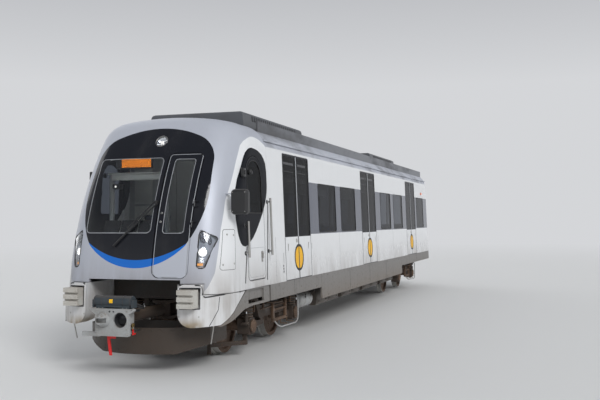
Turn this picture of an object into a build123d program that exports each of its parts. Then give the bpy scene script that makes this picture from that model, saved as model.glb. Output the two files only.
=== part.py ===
from build123d import *
import math
import os

# Leading car of a narrow-gauge metro train: one car body with a driver's cab, on two bogies.
# Millimetres. +X points forward, +Y to the car's left and +Z up.
# The origin lies on the ground line of the wheel flanges, under the middle of the coupled length.
# Names that end in _H are heights above the rail top, and up() turns them into model heights.
# Names that end in _BACK are distances behind the nose plane.

# Overall sizes
COUPLED_LENGTH = 17600.0
CAR_WIDTH = 2550.0
CROWN_H = 3580.0
FLOOR_H = 1050.0
FLANGE_DEPTH = 28.0
COUPLER_REACH = 480.0
GANGWAY_REACH = 300.0
CAB_LENGTH = 2030.0

# Body tube section
TUBE_LOW_H = 400.0
SIDE_LEAN = 80.0
LEAN_TOP_H = 3150.0
ROOF_RADIUS = 5000.0
CANTRAIL_RADIUS = 430.0
CANTRAIL_H = 3180.0
WALL = 60.0
FLOOR_THICK = 100.0
BODY_JOINT = 6.0
SEAT_GAP = 0.4

# Nose form
NOSE_SETBACK = 50.0
PROFILE_RADIUS = 4250.0
PROFILE_UPRIGHT_H = 800.0
PLAN_RADIUS = 11000.0
NOSE_CORNER_RADIUS = 580.0
MASK_THICK = 40.0
GLASS_INSET = 4.0
GLASS_THICK = 14.0
PANEL_GAP = 8.0

# Mask outline, seen from the front
MASK_HALF = 950.0
MASK_WIDEST_H = 2480.0
MASK_BOTTOM_H = 1390.0
MASK_TOP_H = 3385.0
MASK_CHIN_Y = 740.0
MASK_CHIN_H = 1705.0
MASK_CHEEK_Y = 885.0
MASK_CHEEK_H = 2000.0
MASK_SHOULDER_Y = 925.0
MASK_SHOULDER_H = 2880.0
MASK_TEMPLE_Y = 834.0
MASK_TEMPLE_H = 3115.0
MASK_BROW_Y = 640.0
MASK_BROW_H = 3255.0

# Windscreen, front door and lamps
SCREEN_LEFT_Y = 205.0
SCREEN_RIGHT_Y = -838.0
SCREEN_BOTTOM_H = 1865.0
SCREEN_TOP_H = 2935.0
SCREEN_CORNER = 70.0
FRONT_DOOR_INNER_Y = 278.0
FRONT_DOOR_OUTER_Y = 790.0
FRONT_DOOR_BOTTOM_H = 1262.0
FRONT_DOOR_TOP_H = 2985.0
FRONT_DOOR_CORNER = 110.0
FRONT_DOOR_FREE_GAP = 16.0
FRONT_DOOR_PANE_FRAME = 95.0
FRONT_DOOR_PANE_CORNER = 30.0
FRONT_DOOR_PANE_DROP = 30.0
HINGE_PROUD = 8.0
HINGE_PIN_RADIUS = 6.0
HINGE_KNUCKLE_RADIUS = 12.0
HINGE_HALF = 45.0
HINGE_EAR = 15.0
HINGE_LEAF = 50.0
HINGE_ROOM = 6.0
FRONT_HINGE_SPREAD = 150.0
ROOF_LAMP_Y = 68.0
ROOF_LAMP_H = 3185.0
ROOF_LAMP_RADIUS = 88.0
HEADLIGHT_CORNERS = [(903.0, 1925.0), (1118.0, 1800.0), (1000.0, 1392.0), (905.0, 1400.0)]
HEADLIGHT_CORNER_RADIUS = 22.0
DISPLAY_Y = (-640.0, -90.0)
DISPLAY_H = (2795.0, 2945.0)
DISPLAY_BACK = 720.0
DISPLAY_DEPTH = 110.0

# Wiper
WIPER_PIVOT = (238.0, 2290.0)
WIPER_ELBOW = (-120.0, 1925.0)
BLADE_TOP = (-40.0, 1985.0)
BLADE_FOOT = (-330.0, 1690.0)
WIPER_ROD = 9.0
WIPER_PROUD = 34.0
WIPER_BOSS_RADIUS = 26.0

# Passenger doors and side windows
DOOR_COUNT = 3
DOOR_WIDTH = 1380.0
FIRST_DOOR_BACK = 3490.0
LAST_DOOR_TO_END = 2830.0
DOOR_TOP_H = 3125.0
DOOR_GLASS_BOTTOM_H = 1775.0
DOOR_GLASS_TOP_H = 3095.0
LEAF_THICK = 45.0
LEAF_FRAME = 22.0
LEAF_GAP = 6.0
LEAF_CORNER = 20.0
BAND_BOTTOM_H = 1810.0
BAND_TOP_H = 2715.0
MIDDLE_PILLAR = 380.0
END_PILLAR = 560.0
END_WINDOW_WIDTH = 1150.0
WINDOW_CORNER = 50.0

# Cab side doors, rails and mirrors
CAB_DOOR_FRONT_BACK = 1145.0
CAB_DOOR_REAR_BACK = 1855.0
CAB_DOOR_BOTTOM_H = 1165.0
CAB_DOOR_TOP_H = 2985.0
CAB_DOOR_CORNER = 90.0
CAB_DOOR_GAP = 10.0
CAB_DOOR_HINGE_DEPTH = 66.0
CAB_HINGE_HEIGHTS = (1450.0, 2650.0)
CAB_WINDOW_BOTTOM_H = 2140.0
CAB_WINDOW_TOP_H = 2925.0
CAB_WINDOW_FRAME = 60.0
CAB_WINDOW_CORNER = 60.0
RAIL_TABLE = [(1052.0, 1506.0, 2022.0), (2000.0, 1506.0, 2380.0)]
RAIL_RADIUS = 17.5
RAIL_FOOT_RADIUS = 13.0
RAIL_STANDOFF = 62.0
MIRROR_BACK = 660.0
MIRROR_H = (2115.0, 2465.0)
MIRROR_Y = (1240.0, 1490.0)
MIRROR_DEPTH = 105.0
MIRROR_STEP = 28.0
MIRROR_PIN_OUT = 14.0
MIRROR_PIN_RADIUS = 12.0
MIRROR_EYE_RADIUS = 20.0
MIRROR_EAR_THICK = 16.0
MIRROR_EAR_INSET = 60.0
MIRROR_EAR_ROOT_Y = 1100.0
MIRROR_WEB_HALF = 15.0

# Front end under the mask
POCKET_HALF = 700.0
POCKET_TOP_H = 1238.0
BUMPER_TAB_HALF = 1010.0
BUMPER_TAB_DROP = 45.0
BUMPER_PROUD = 70.0
BUMPER_BOTTOM_H = 615.0
BUMPER_OUTER_BOTTOM_H = 660.0
BUMPER_CORNER = 190.0
BUMPER_WALL = 45.0
BUMPER_GAP = 8.0
WHEELHOUSE_FRONT_BACK = 250.0
WHEELHOUSE_REAR_BACK = 1050.0
BLOCK_CENTRE_Y = 860.0
BLOCK_WIDTH = 225.0
BLOCK_H = (880.0, 1122.0)
BLOCK_DEPTH = 190.0
BLOCK_PROUD = 120.0
BLOCK_RIBS = 3
BLOCK_RIB_DEPTH = 36.0
BLOCK_RIB_GAP = 28.0
BLOCK_CLEAR = 14.0
ABSORBER_HALF = 90.0
HEADSTOCK_BACK = 760.0
HEADSTOCK_THICK = 40.0
HEADSTOCK_HALF = 1040.0
HEADSTOCK_BOTTOM_H = 450.0
HEADSTOCK_PORT_HALF = 390.0
HEADSTOCK_PORT_BOTTOM_H = 610.0

# Snow plough
PLOUGH_RADIUS = 1165.0
PLOUGH_FRONT_BACK = 95.0
PLOUGH_HALF = 930.0
PLOUGH_BOTTOM_H = 225.0
PLOUGH_FLAT_HALF = 560.0
PLOUGH_END_BOTTOM_H = 335.0
PLOUGH_TOP_H = 585.0
PLOUGH_PLATE = 16.0
PLOUGH_RETURN = 560.0
PLOUGH_STAY_Y = 600.0
PLOUGH_STAY_BOTTOM_H = 470.0

# Coupler
COUPLER_H = 752.0
COUPLER_PIVOT_BACK = 950.0
HEAD_H = (542.0, 898.0)
HEAD_DEPTH = 330.0
PLATE_HALF = 245.0
PLATE_THICK = 60.0
PLATE_WING_HALF = 320.0
PLATE_WING_DEPTH = 26.0
PLATE_WING_TAPER = 50.0
PLATE_CORNER = 14.0
HOUSING_HALF = 145.0
HEAD_PORT_Y = 122.0
CUP_RADIUS = 98.0
CUP_DEPTH = 130.0
CUP_WALL = 12.0
CONE_BASE_RADIUS = 100.0
CONE_TIP_RADIUS = 52.0
CONE_REACH = 110.0
CONE_SLOT_HALF = 75.0
CONE_SLOT_HEIGHT = 60.0
CONE_SLOT_FLOOR = 20.0
HEAD_GUIDE_TIP_Y = -450.0
HEAD_GUIDE_H = (532.0, 590.0)
SHANK_RADIUS = 82.0
PIVOT_PIN_RADIUS = 35.0
PIN_CLEARANCE = 0.1
EYE_RADIUS = 105.0
EYE_HALF = 95.0
ANCHOR_EAR = 38.0
ANCHOR_HALF = 150.0
COVER_RADIUS = 72.0
COVER_H = 990.0
COVER_HALF = 275.0
COVER_EAR = 20.0
COVER_BACK = 78.0
LEVER_Y = -112.0
LEVER_WIDTH = 46.0
LEVER_THICK = 14.0
LEVER_DROP = 266.0
LEVER_HOOK = 105.0
LEVER_SWAY = 32.0
LEVER_FOOT = 38.0

# Skirts, pads and underfloor cases
SKIRT_THICK = 30.0
SKIRT_SHALLOW_H = 805.0
SKIRT_DEEP_H = 595.0
DEEP_SKIRT_LEAD = 1860.0
NICHE_BACK = (1090.0, 1730.0)
NICHE_H = (840.0, 1030.0)
NICHE_DEPTH = 24.0
CASE_BOTTOM_H = 430.0
CASE_COUNT = 4
CASE_GAP = 280.0
CASE_HALF = 1080.0
CASE_CORNER = 40.0
PAD_SIZE = 140.0
PAD_BEHIND = 190.0
PAD_BOTTOM_H = 700.0
PAD_INBOARD = 250.0
TANK_BACK = (4215.0, 4860.0)
TANK_Y = 950.0
TANK_H = 590.0
TANK_RADIUS = 135.0
TANK_STRAP = 40.0

# Wheelsets
FRONT_OVERHANG = 2900.0
REAR_OVERHANG = 2620.0
WHEELBASE = 2050.0
WHEEL_RADIUS = 425.0
GAUGE = 1000.0
FLANGE_WIDTH = 32.0
TREAD_WIDTH = 98.0
RIM_THICK = 62.0
WEB_THICK = 34.0
HUB_RADIUS = 120.0
HUB_WIDTH = 170.0
AXLE_RADIUS = 78.0
JOURNAL_RADIUS = 60.0
JOURNAL_CLEARANCE = 0.1
DISC_RADIUS = 260.0
DISC_THICK = 80.0
DISC_Y = -310.0

# Bogie frames and what they carry
FRAME_CENTRE_Y = 930.0
FRAME_BEAM = 110.0
FRAME_HALF_LENGTH = 1275.0
FRAME_END_H = (800.0, 915.0)
FRAME_BELLY_H = (500.0, 690.0)
FRAME_END_INNER = 760.0
FRAME_BELLY_HALF = 560.0
FRAME_BEND_RADIUS = 70.0
TRANSOM_X = 230.0
TRANSOM_RADIUS = 80.0
TRANSOM_H = 600.0
BOSS_HALF_X = 330.0
BOSS_HALF_Y = 260.0
BOSS_H = (530.0, 670.0)
PIVOT_RADIUS = 90.0
AXLEBOX_SIZE = 250.0
AXLEBOX_WIDTH = 190.0
AXLEBOX_CAP_RADIUS = 95.0
AXLEBOX_CAP_THICK = 28.0
ARM_THICK = 70.0
ARM_SEAT_BACK = (380.0, 500.0)
SPRING_RADIUS = 100.0
SPRING_WAIST = 78.0
SPRING_COILS = 5
AIR_SPRING_RADIUS = 215.0
AIR_SPRING_WAIST = 150.0
AIR_PAN_RADIUS = 180.0
AIR_PAN_THICK = 22.0
RUNNING_GAP = 0.5
MOTOR_X = 655.0
MOTOR_H = 500.0
MOTOR_RADIUS = 185.0
MOTOR_HALF = 190.0
GEAR_Y = (200.0, 320.0)
GEAR_RADIUS = 190.0
GEAR_CLEARANCE = 6.0
GUARD_AHEAD = 490.0
GUARD_THICK = 22.0
GUARD_BAR = 60.0
GUARD_BAR_H = 150.0
GUARD_BOTTOM_H = 45.0

# Roof
POD_BACK = (2080.0, 5080.0)
REAR_POD_BACK = (10700.0, 13700.0)
POD_HALF = 860.0
POD_TOP_HALF = 790.0
POD_TOP_H = 3760.0
POD_CORNER = 70.0
FAIRING_Y = 1010.0
FAIRING_TOP_H = 3590.0
FAIRING_THICK = 25.0
FAIRING_FRONT_BACK = 2120.0
GUTTER_H = (3262.0, 3288.0)
GUTTER_Y = 1182.0
GUTTER_DEPTH = 55.0

# Interior
BULKHEAD_THICK = 40.0
BULKHEAD_DOOR_HALF = 330.0
BULKHEAD_DOOR_TOP_H = 3000.0
BULKHEAD_DOOR_GAP = 8.0
BULKHEAD_HINGE_HEIGHTS = (1350.0, 2700.0)
BENCH_DEPTH = 460.0
BENCH_TOP_H = 430.0
BENCH_BACK_H = 880.0
BENCH_PAN = 50.0
BENCH_MARGIN = 260.0
POLE_RADIUS = 17.5
POLE_Y = 420.0
POLE_X = 470.0
CAB_FLOOR_H = 1270.0
CAB_FLOOR_THICK = 30.0
DESK_BACK = (330.0, 720.0)
DESK_Y = (-880.0, 160.0)
DESK_TOP_H = 1835.0
DRIVER_SEAT_BACK = 1230.0
DRIVER_SEAT_Y = -340.0
DRIVER_SEAT_HALF = 230.0
CUSHION_H = (1500.0, 1600.0)
BACKREST_TOP_H = 2180.0

# Gangway and rear drawbar
GANGWAY_HALF = 600.0
GANGWAY_H = (1000.0, 3120.0)
GANGWAY_WALL = 70.0
GANGWAY_FRAME = 60.0
GANGWAY_CORNER = 120.0
FOLD_COUNT = 4
FOLD_HEIGHT = 34.0
DRAWBAR_RADIUS = 55.0
DRAWBAR_ROOT = 620.0
DRAWBAR_FLANGE_RADIUS = 150.0
DRAWBAR_FLANGE_THICK = 30.0
DRAWBAR_BOLTS = 8
DRAWBAR_PCD = 230.0
DRAWBAR_BOLT_RADIUS = 13.5

# Positions that follow
HALF_W = CAR_WIDTH / 2
FRONT_X = COUPLED_LENGTH / 2
BACK_X = -COUPLED_LENGTH / 2
NOSE_X = FRONT_X - COUPLER_REACH
REAR_X = BACK_X + GANGWAY_REACH
CAB_X = NOSE_X - CAB_LENGTH
BODY_X = CAB_X - BODY_JOINT
FACE_X = NOSE_X - NOSE_SETBACK
FORWARD_X = NOSE_X + 100.0
HEADSTOCK_X = NOSE_X - HEADSTOCK_BACK
FIRST_DOOR_X = NOSE_X - FIRST_DOOR_BACK
LAST_DOOR_X = REAR_X + LAST_DOOR_TO_END
DOOR_PITCH = (FIRST_DOOR_X - LAST_DOOR_X) / (DOOR_COUNT - 1)
DOOR_XS = [FIRST_DOOR_X - i * DOOR_PITCH for i in range(DOOR_COUNT)]
FRONT_BOGIE_X = NOSE_X - FRONT_OVERHANG
REAR_BOGIE_X = REAR_X + REAR_OVERHANG
DEEP_FRONT_X = FRONT_BOGIE_X - DEEP_SKIRT_LEAD
DEEP_REAR_X = REAR_BOGIE_X + DEEP_SKIRT_LEAD


def up(height):
    """Model height of a height above the rail top."""
    return height + FLANGE_DEPTH


FLOOR_Z = up(FLOOR_H)
UNDER_Z = FLOOR_Z - FLOOR_THICK
AXLE_Z = up(WHEEL_RADIUS)
TAB_TOP_Z = up(POCKET_TOP_H - BUMPER_TAB_DROP)
CANT_Z = up(CANTRAIL_H)

nodes = {}


def put(name, *shapes):
    """Keep the solids of some shapes as one named node."""
    found = []
    for shape in shapes:
        found.extend(shape.solids())
    nodes[name] = found


# Simple solids

def block(x0, x1, y0, y1, z0, z1):
    """Box between two corners."""
    middle = Pos((x0 + x1) / 2, (y0 + y1) / 2, (z0 + z1) / 2)
    return middle * Box(abs(x1 - x0), abs(y1 - y0), abs(z1 - z0))


def rod_y(x, z, radius, y0, y1):
    """Round bar along Y."""
    return Pos(x, (y0 + y1) / 2, z) * Rot(90, 0, 0) * Cylinder(radius, abs(y1 - y0))


def rod_x(y, z, radius, x0, x1):
    """Round bar along X."""
    return Pos((x0 + x1) / 2, y, z) * Rot(0, 90, 0) * Cylinder(radius, abs(x1 - x0))


def rod_z(x, y, radius, z0, z1):
    """Upright round bar."""
    return Pos(x, y, (z0 + z1) / 2) * Cylinder(radius, abs(z1 - z0))


def bar(start, end, radius):
    """Round bar between two points."""
    run = Vector(*end) - Vector(*start)
    return extrude(Plane(origin=start, z_dir=run) * Circle(radius), amount=run.length)


def front_prism(outline, x0, x1):
    """Solid along X of an outline drawn as seen in the YZ plane."""
    return extrude(Plane.YZ.offset(x0) * outline, amount=x1 - x0)


def side_prism(outline, y0, y1):
    """Solid along Y of an outline drawn in the XZ plane."""
    low = min(y0, y1)
    return extrude(Plane.XZ.offset(-low) * outline, amount=abs(y1 - y0), dir=(0, 1, 0))


def top_prism(outline, z0, z1):
    """Solid along Z of an outline drawn in the XY plane."""
    return extrude(Plane.XY.offset(z0) * outline, amount=z1 - z0)


def polygon(points):
    """Flat face through corner points."""
    return make_face(Polyline(*points, close=True))


def other_side(shape):
    """Mirror image of a shape on the other side of the car."""
    return mirror(shape, about=Plane.XZ)


def rounded_rect(x0, x1, z0, z1, corner):
    """Flat rectangle with round corners between two corners."""
    face = Pos((x0 + x1) / 2, (z0 + z1) / 2) * Rectangle(abs(x1 - x0), abs(z1 - z0))
    return fillet(face.vertices(), corner)


# Body tube

def side_y(height, inset=0.0):
    """Half width of the leaning side at a height above the rail."""
    return HALF_W - SIDE_LEAN * (height - FLOOR_H) / (LEAN_TOP_H - FLOOR_H) - inset


def roof_z(y, inset=0.0):
    """Model height of the roof arc at a distance from the middle."""
    return up(CROWN_H) - ROOF_RADIUS + math.sqrt((ROOF_RADIUS - inset) ** 2 - y ** 2)


def tube_face(inset, sharp=False):
    """Outline of the body tube, with leaning sides and an arched roof."""
    top_y = side_y(LEAN_TOP_H, inset)
    for _ in range(8):
        top_y = side_y(roof_z(top_y, inset) - FLANGE_DEPTH, inset)
    low_y = side_y(TUBE_LOW_H, inset)
    low_z = up(TUBE_LOW_H)
    arc_z = roof_z(top_y, inset)
    base = Line((-low_y, low_z), (low_y, low_z))
    left = Line((low_y, low_z), (top_y, arc_z))
    roof = ThreePointArc((top_y, arc_z), (0, up(CROWN_H) - inset), (-top_y, arc_z))
    right = Line((-top_y, arc_z), (-low_y, low_z))
    face = make_face([base, left, roof, right])
    if sharp:
        return face
    corners = face.vertices().sort_by(Axis.Y)[-2:]
    return fillet(corners, CANTRAIL_RADIUS - inset)


def tube(inset, x0, x1):
    """Length of body tube, inset by some distance all round."""
    return front_prism(tube_face(inset), x0, x1)


def tube_skin(outer, inner, x0, x1):
    """Skin of the body tube between two insets."""
    return tube(outer, x0, x1) - tube(inner, x0, x1)


# Nose form

def barrel(inset):
    """Round form whose front gives the nose its raked profile and its curved plan."""
    radius = PROFILE_RADIUS - inset
    upright = up(PROFILE_UPRIGHT_H)
    centre_x = FACE_X - PROFILE_RADIUS
    axis_x = FACE_X - PLAN_RADIUS
    low = up(TUBE_LOW_H)
    high = up(CROWN_H) + 200.0
    low_x = centre_x + math.sqrt(radius ** 2 - (low - upright) ** 2)
    high_x = centre_x + math.sqrt(radius ** 2 - (high - upright) ** 2)
    rear_x = CAB_X - 200.0
    lines = [
        Line((rear_x, low), (low_x, low)),
        ThreePointArc((low_x, low), (centre_x + radius, upright), (high_x, high)),
        Line((high_x, high), (rear_x, high)),
        Line((rear_x, high), (rear_x, low)),
    ]
    face = Plane.XZ * make_face(lines)
    spin = Axis((axis_x, 0, 0), (0, 0, 1))
    sweep = 2 * math.degrees(math.asin(1.25 * HALF_W / (rear_x - axis_x)))
    start = Pos(axis_x, 0, 0) * Rot(0, 0, -sweep / 2) * Pos(-axis_x, 0, 0) * face
    return revolve(start, spin, sweep)


def nose_form(inset):
    """Outer form of the cab, or the same form inset, with round corners all the way over."""
    body = front_prism(tube_face(inset, sharp=True), CAB_X, NOSE_X + 50.0) & barrel(inset)
    uprights = []
    for edge in body.edges():
        span = edge.bounding_box()
        if span.min.X > CAB_X + 1.0 and span.size.Z > 1000.0:
            uprights.append(edge)
    body = fillet(uprights, NOSE_CORNER_RADIUS - inset)
    rims = []
    for edge in body.edges():
        span = edge.bounding_box()
        if span.max.X > CAB_X + 1.0 and span.min.Z > CANT_Z - 80.0 and span.size.Z < 700.0:
            rims.append(edge)
    return fillet(rims, CANTRAIL_RADIUS - inset)


def face_x(height, y=0.0, inset=0.0):
    """How far forward the nose face lies at a height and a distance from the middle."""
    rise = height - PROFILE_UPRIGHT_H
    profile = FACE_X - PROFILE_RADIUS + math.sqrt((PROFILE_RADIUS - inset) ** 2 - rise ** 2)
    reach = profile - (FACE_X - PLAN_RADIUS)
    return FACE_X - PLAN_RADIUS + math.sqrt(reach ** 2 - y ** 2)


def on_face(spot, proud):
    """Point in front of the nose face, from a distance from the middle and a height."""
    y, height = spot
    return (face_x(height, y) + proud, y, up(height))


NOSE_OUT = nose_form(0.0)
NOSE_GLASS_OUT = nose_form(GLASS_INSET)
NOSE_GLASS_IN = nose_form(GLASS_INSET + GLASS_THICK)
NOSE_SKIRT = nose_form(SKIRT_THICK)
NOSE_MASK = nose_form(MASK_THICK)
NOSE_BUMPER = nose_form(BUMPER_WALL)
NOSE_IN = nose_form(WALL)
NOSE_LINING = nose_form(WALL + SEAT_GAP)


# Cab outlines

def front_cut(outline, back=1400.0):
    """Prism along X that reaches through the front of the nose."""
    return front_prism(outline, NOSE_X - back, FORWARD_X)


def mask_outline():
    """Shield outline of the mask, drawn down one side and mirrored up the other."""
    low_z = up(MASK_BOTTOM_H)
    left = [
        (MASK_CHIN_Y, up(MASK_CHIN_H)), (MASK_CHEEK_Y, up(MASK_CHEEK_H)), (MASK_HALF, up(MASK_WIDEST_H)),
        (MASK_SHOULDER_Y, up(MASK_SHOULDER_H)), (MASK_TEMPLE_Y, up(MASK_TEMPLE_H)), (MASK_BROW_Y, up(MASK_BROW_H))]
    right = [(-y, z) for y, z in left]
    lines = [
        ThreePointArc(right[0], (0.0, low_z), left[0]),
        ThreePointArc(*left[0:3]),
        Line(left[2], left[3]),
        ThreePointArc(*left[3:6]),
        ThreePointArc(left[5], (0.0, up(MASK_TOP_H)), right[5]),
        ThreePointArc(right[5], right[4], right[3]),
        Line(right[3], right[2]),
        ThreePointArc(right[2], right[1], right[0]),
    ]
    return make_face(lines)


def door_plane():
    """Plane square to the front door's hinge line, at the middle of its height."""
    middle = (FRONT_DOOR_BOTTOM_H + FRONT_DOOR_TOP_H) / 2
    tilt = math.asin((middle - PROFILE_UPRIGHT_H) / PROFILE_RADIUS)
    origin = (face_x(middle, FRONT_DOOR_OUTER_Y), 0.0, up(middle))
    return Plane(origin=origin, x_dir=(0, 1, 0), z_dir=(math.cos(tilt), 0, math.sin(tilt))), tilt


def along_hinge(height):
    """How far up the hinge line the nose face reaches a height, from the middle of the door."""
    plane, tilt = door_plane()
    ahead = face_x(height, FRONT_DOOR_OUTER_Y) - plane.origin.X
    rise = up(height) - plane.origin.Z
    return rise * math.cos(tilt) - ahead * math.sin(tilt)


def door_prism(y0, y1, low, high, corner):
    """Prism square to the front door's hinge line."""
    plane, tilt = door_plane()
    outline = rounded_rect(y0, y1, low, high, corner)
    return extrude(plane.offset(-700.0) * outline, amount=1100.0)


def front_door_prism(gap, free_gap):
    """Prism of the front door, or of its opening when gaps are given."""
    low = along_hinge(FRONT_DOOR_BOTTOM_H) - gap
    high = along_hinge(FRONT_DOOR_TOP_H) + gap
    return door_prism(FRONT_DOOR_INNER_Y - free_gap, FRONT_DOOR_OUTER_Y + gap, low, high, FRONT_DOOR_CORNER)


def front_pane_prism():
    """Prism of the pane in the front door, about as high as the windscreen."""
    y0 = FRONT_DOOR_INNER_Y + FRONT_DOOR_PANE_FRAME
    y1 = FRONT_DOOR_OUTER_Y - FRONT_DOOR_PANE_FRAME
    low = along_hinge(SCREEN_BOTTOM_H)
    high = along_hinge(SCREEN_TOP_H - FRONT_DOOR_PANE_DROP)
    return door_prism(y0, y1, low, high, FRONT_DOOR_PANE_CORNER)


def cab_door_outline(gap):
    """Outline of a cab side door with an arched head, larger by a gap."""
    x0 = NOSE_X - CAB_DOOR_REAR_BACK - gap
    x1 = NOSE_X - CAB_DOOR_FRONT_BACK + gap
    z0 = up(CAB_DOOR_BOTTOM_H) - gap
    z1 = up(CAB_DOOR_TOP_H) + gap
    face = Pos((x0 + x1) / 2, (z0 + z1) / 2) * Rectangle(x1 - x0, z1 - z0)
    face = fillet(face.vertices().sort_by(Axis.Y)[:2], CAB_DOOR_CORNER + gap)
    return fillet(face.vertices().sort_by(Axis.Y)[-2:], 0.48 * (x1 - x0))


def cab_window_outline():
    """Outline of the window in a cab side door, arched like the door."""
    x0 = NOSE_X - CAB_DOOR_REAR_BACK + CAB_WINDOW_FRAME
    x1 = NOSE_X - CAB_DOOR_FRONT_BACK - CAB_WINDOW_FRAME
    face = Pos((x0 + x1) / 2, up(CAB_WINDOW_BOTTOM_H + CAB_WINDOW_TOP_H) / 2 + FLANGE_DEPTH / 2)
    face = face * Rectangle(x1 - x0, CAB_WINDOW_TOP_H - CAB_WINDOW_BOTTOM_H)
    face = fillet(face.vertices().sort_by(Axis.Y)[:2], CAB_WINDOW_CORNER)
    return fillet(face.vertices().sort_by(Axis.Y)[-2:], 0.45 * (x1 - x0))


def headlight_outline():
    """Kite outline of the left headlight, seen from the front."""
    corners = [(y, up(height)) for y, height in HEADLIGHT_CORNERS]
    face = polygon(corners)
    return fillet(face.vertices(), HEADLIGHT_CORNER_RADIUS)


def side_span(side):
    """Range of Y that holds one side wall only."""
    return side * 0.7 * HALF_W, side * 1.2 * HALF_W


# Hinges, drawn with the pin up Z, the door towards +X and the sheet it lies on towards +Y

def hinge_frame_leaf(depth):
    """Fixed half of a hinge: pin, two ears and leaves that reach a depth into the frame."""
    fixed = Cylinder(HINGE_PIN_RADIUS, 2 * HINGE_HALF)
    for side in (1, -1):
        z = side * (HINGE_HALF - HINGE_EAR / 2)
        ear = Pos(0, 0, z) * Cylinder(HINGE_KNUCKLE_RADIUS, HINGE_EAR)
        leaf = Pos(-HINGE_LEAF / 2, depth / 2, z) * Box(HINGE_LEAF, abs(depth), HINGE_EAR)
        fixed = fixed + ear + leaf
    return fixed


def hinge_door_leaf(depth):
    """Moving half of a hinge: knuckle with its bore, and a leaf that reaches a depth into the door."""
    half = HINGE_HALF - HINGE_EAR - SEAT_GAP
    knuckle = Cylinder(HINGE_KNUCKLE_RADIUS, 2 * half)
    length = HINGE_LEAF - PANEL_GAP
    leaf = Pos(PANEL_GAP + length / 2, depth / 2, 0) * Box(length, abs(depth), 2 * half)
    return (knuckle + leaf) - Cylinder(HINGE_PIN_RADIUS + PIN_CLEARANCE, 3 * HINGE_HALF)


def hinge_room():
    """Space round a hinge that door and frame leave free."""
    return Cylinder(HINGE_KNUCKLE_RADIUS + HINGE_ROOM, 2 * (HINGE_HALF + HINGE_ROOM))


def cab_hinge_places():
    """Places of the left cab door's hinges, along the lean of the side."""
    lean = math.degrees(math.atan(SIDE_LEAN / (LEAN_TOP_H - FLOOR_H)))
    x = NOSE_X - CAB_DOOR_REAR_BACK
    return [Pos(x, side_y(height, CAB_DOOR_HINGE_DEPTH), up(height)) * Rot(lean, 0, 0)
            for height in CAB_HINGE_HEIGHTS]


def front_hinge_places():
    """Places of the front door's hinges, outside the face on its outer edge."""
    plane, tilt = door_plane()
    places = []
    for shift in (-FRONT_HINGE_SPREAD, FRONT_HINGE_SPREAD):
        x = plane.origin.X + HINGE_PROUD * math.cos(tilt) - shift * math.sin(tilt)
        z = plane.origin.Z + HINGE_PROUD * math.sin(tilt) + shift * math.cos(tilt)
        y = FRONT_DOOR_OUTER_Y + PANEL_GAP
        places.append(Pos(x, y, z) * Rot(0, -math.degrees(tilt), 0) * Rot(0, 0, -90))
    return places


# Cab pieces

def make_cab():
    """Cab skin, mask, windscreen, front door, cab side doors and lamps."""
    mask_cut = front_cut(mask_outline())
    door_cut = front_door_prism(PANEL_GAP, FRONT_DOOR_FREE_GAP)
    lamp_cut = front_cut(Pos(ROOF_LAMP_Y, up(ROOF_LAMP_H)) * Circle(ROOF_LAMP_RADIUS))
    light_cut = front_cut(headlight_outline(), back=900.0)
    light_cuts = [light_cut, other_side(light_cut)]

    skin = NOSE_OUT - NOSE_IN
    skin = skin - block(CAB_X - 1, FORWARD_X, -1.2 * HALF_W, 1.2 * HALF_W, 0, FLOOR_Z)
    skin = skin - block(HEADSTOCK_X, FORWARD_X, -POCKET_HALF, POCKET_HALF, 0, up(POCKET_TOP_H))
    skin = skin - block(HEADSTOCK_X, FORWARD_X, -BUMPER_TAB_HALF, BUMPER_TAB_HALF, 0, TAB_TOP_Z)
    skin = skin - mask_cut - door_cut
    outer_layer = NOSE_OUT - NOSE_MASK
    for cut in light_cuts:
        skin = skin - (outer_layer & cut)
    for side in (1, -1):
        skin = skin - side_prism(cab_door_outline(CAB_DOOR_GAP), *side_span(side))
    bracket = mirror_bracket() - NOSE_IN
    for place in cab_hinge_places():
        room = place * hinge_room()
        skin = skin - room - other_side(room)
    for place in cab_hinge_places():
        hinge = place * hinge_frame_leaf(CAB_DOOR_HINGE_DEPTH - WALL + HINGE_ROOM)
        skin = skin + hinge + other_side(hinge)
    put("cab_shell", skin + bracket)

    screen_cut = front_cut(rounded_rect(
        SCREEN_RIGHT_Y, SCREEN_LEFT_Y, up(SCREEN_BOTTOM_H), up(SCREEN_TOP_H), SCREEN_CORNER))
    mask = (outer_layer & mask_cut) - door_cut - screen_cut - lamp_cut
    for place in front_hinge_places():
        mask = mask - place * hinge_room() + place * hinge_frame_leaf(-MASK_THICK)
    put("front_mask", mask)
    glazing = NOSE_GLASS_OUT - NOSE_GLASS_IN
    put("windscreen", glazing & screen_cut)

    put("lamp_lenses", glazing & lamp_cut, *[glazing & cut for cut in light_cuts])

    pane_cut = front_pane_prism()
    door = (outer_layer & front_door_prism(0.0, 0.0)) - pane_cut
    for place in front_hinge_places():
        door = door - place * hinge_room() + place * hinge_door_leaf(-MASK_THICK)
    put("front_door", door)
    put("front_door_glass", glazing & pane_cut)

    for name, side in (("left", 1), ("right", -1)):
        window_cut = side_prism(cab_window_outline(), *side_span(side))
        leaf = (outer_layer & side_prism(cab_door_outline(0.0), *side_span(side))) - window_cut
        for place in cab_hinge_places():
            knuckle = place * hinge_door_leaf(CAB_DOOR_HINGE_DEPTH - MASK_THICK + HINGE_ROOM)
            leaf = leaf + (knuckle if side == 1 else other_side(knuckle))
        put("cab_door_" + name, leaf)
        put("cab_window_" + name, glazing & window_cut)


def make_display():
    """Cassette of the destination display, hung from the cab roof behind the windscreen."""
    x1 = NOSE_X - DISPLAY_BACK
    case = block(x1 - DISPLAY_DEPTH, x1, *DISPLAY_Y, up(DISPLAY_H[0]), up(CROWN_H))
    put("destination_display", case & NOSE_MASK)


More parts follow.
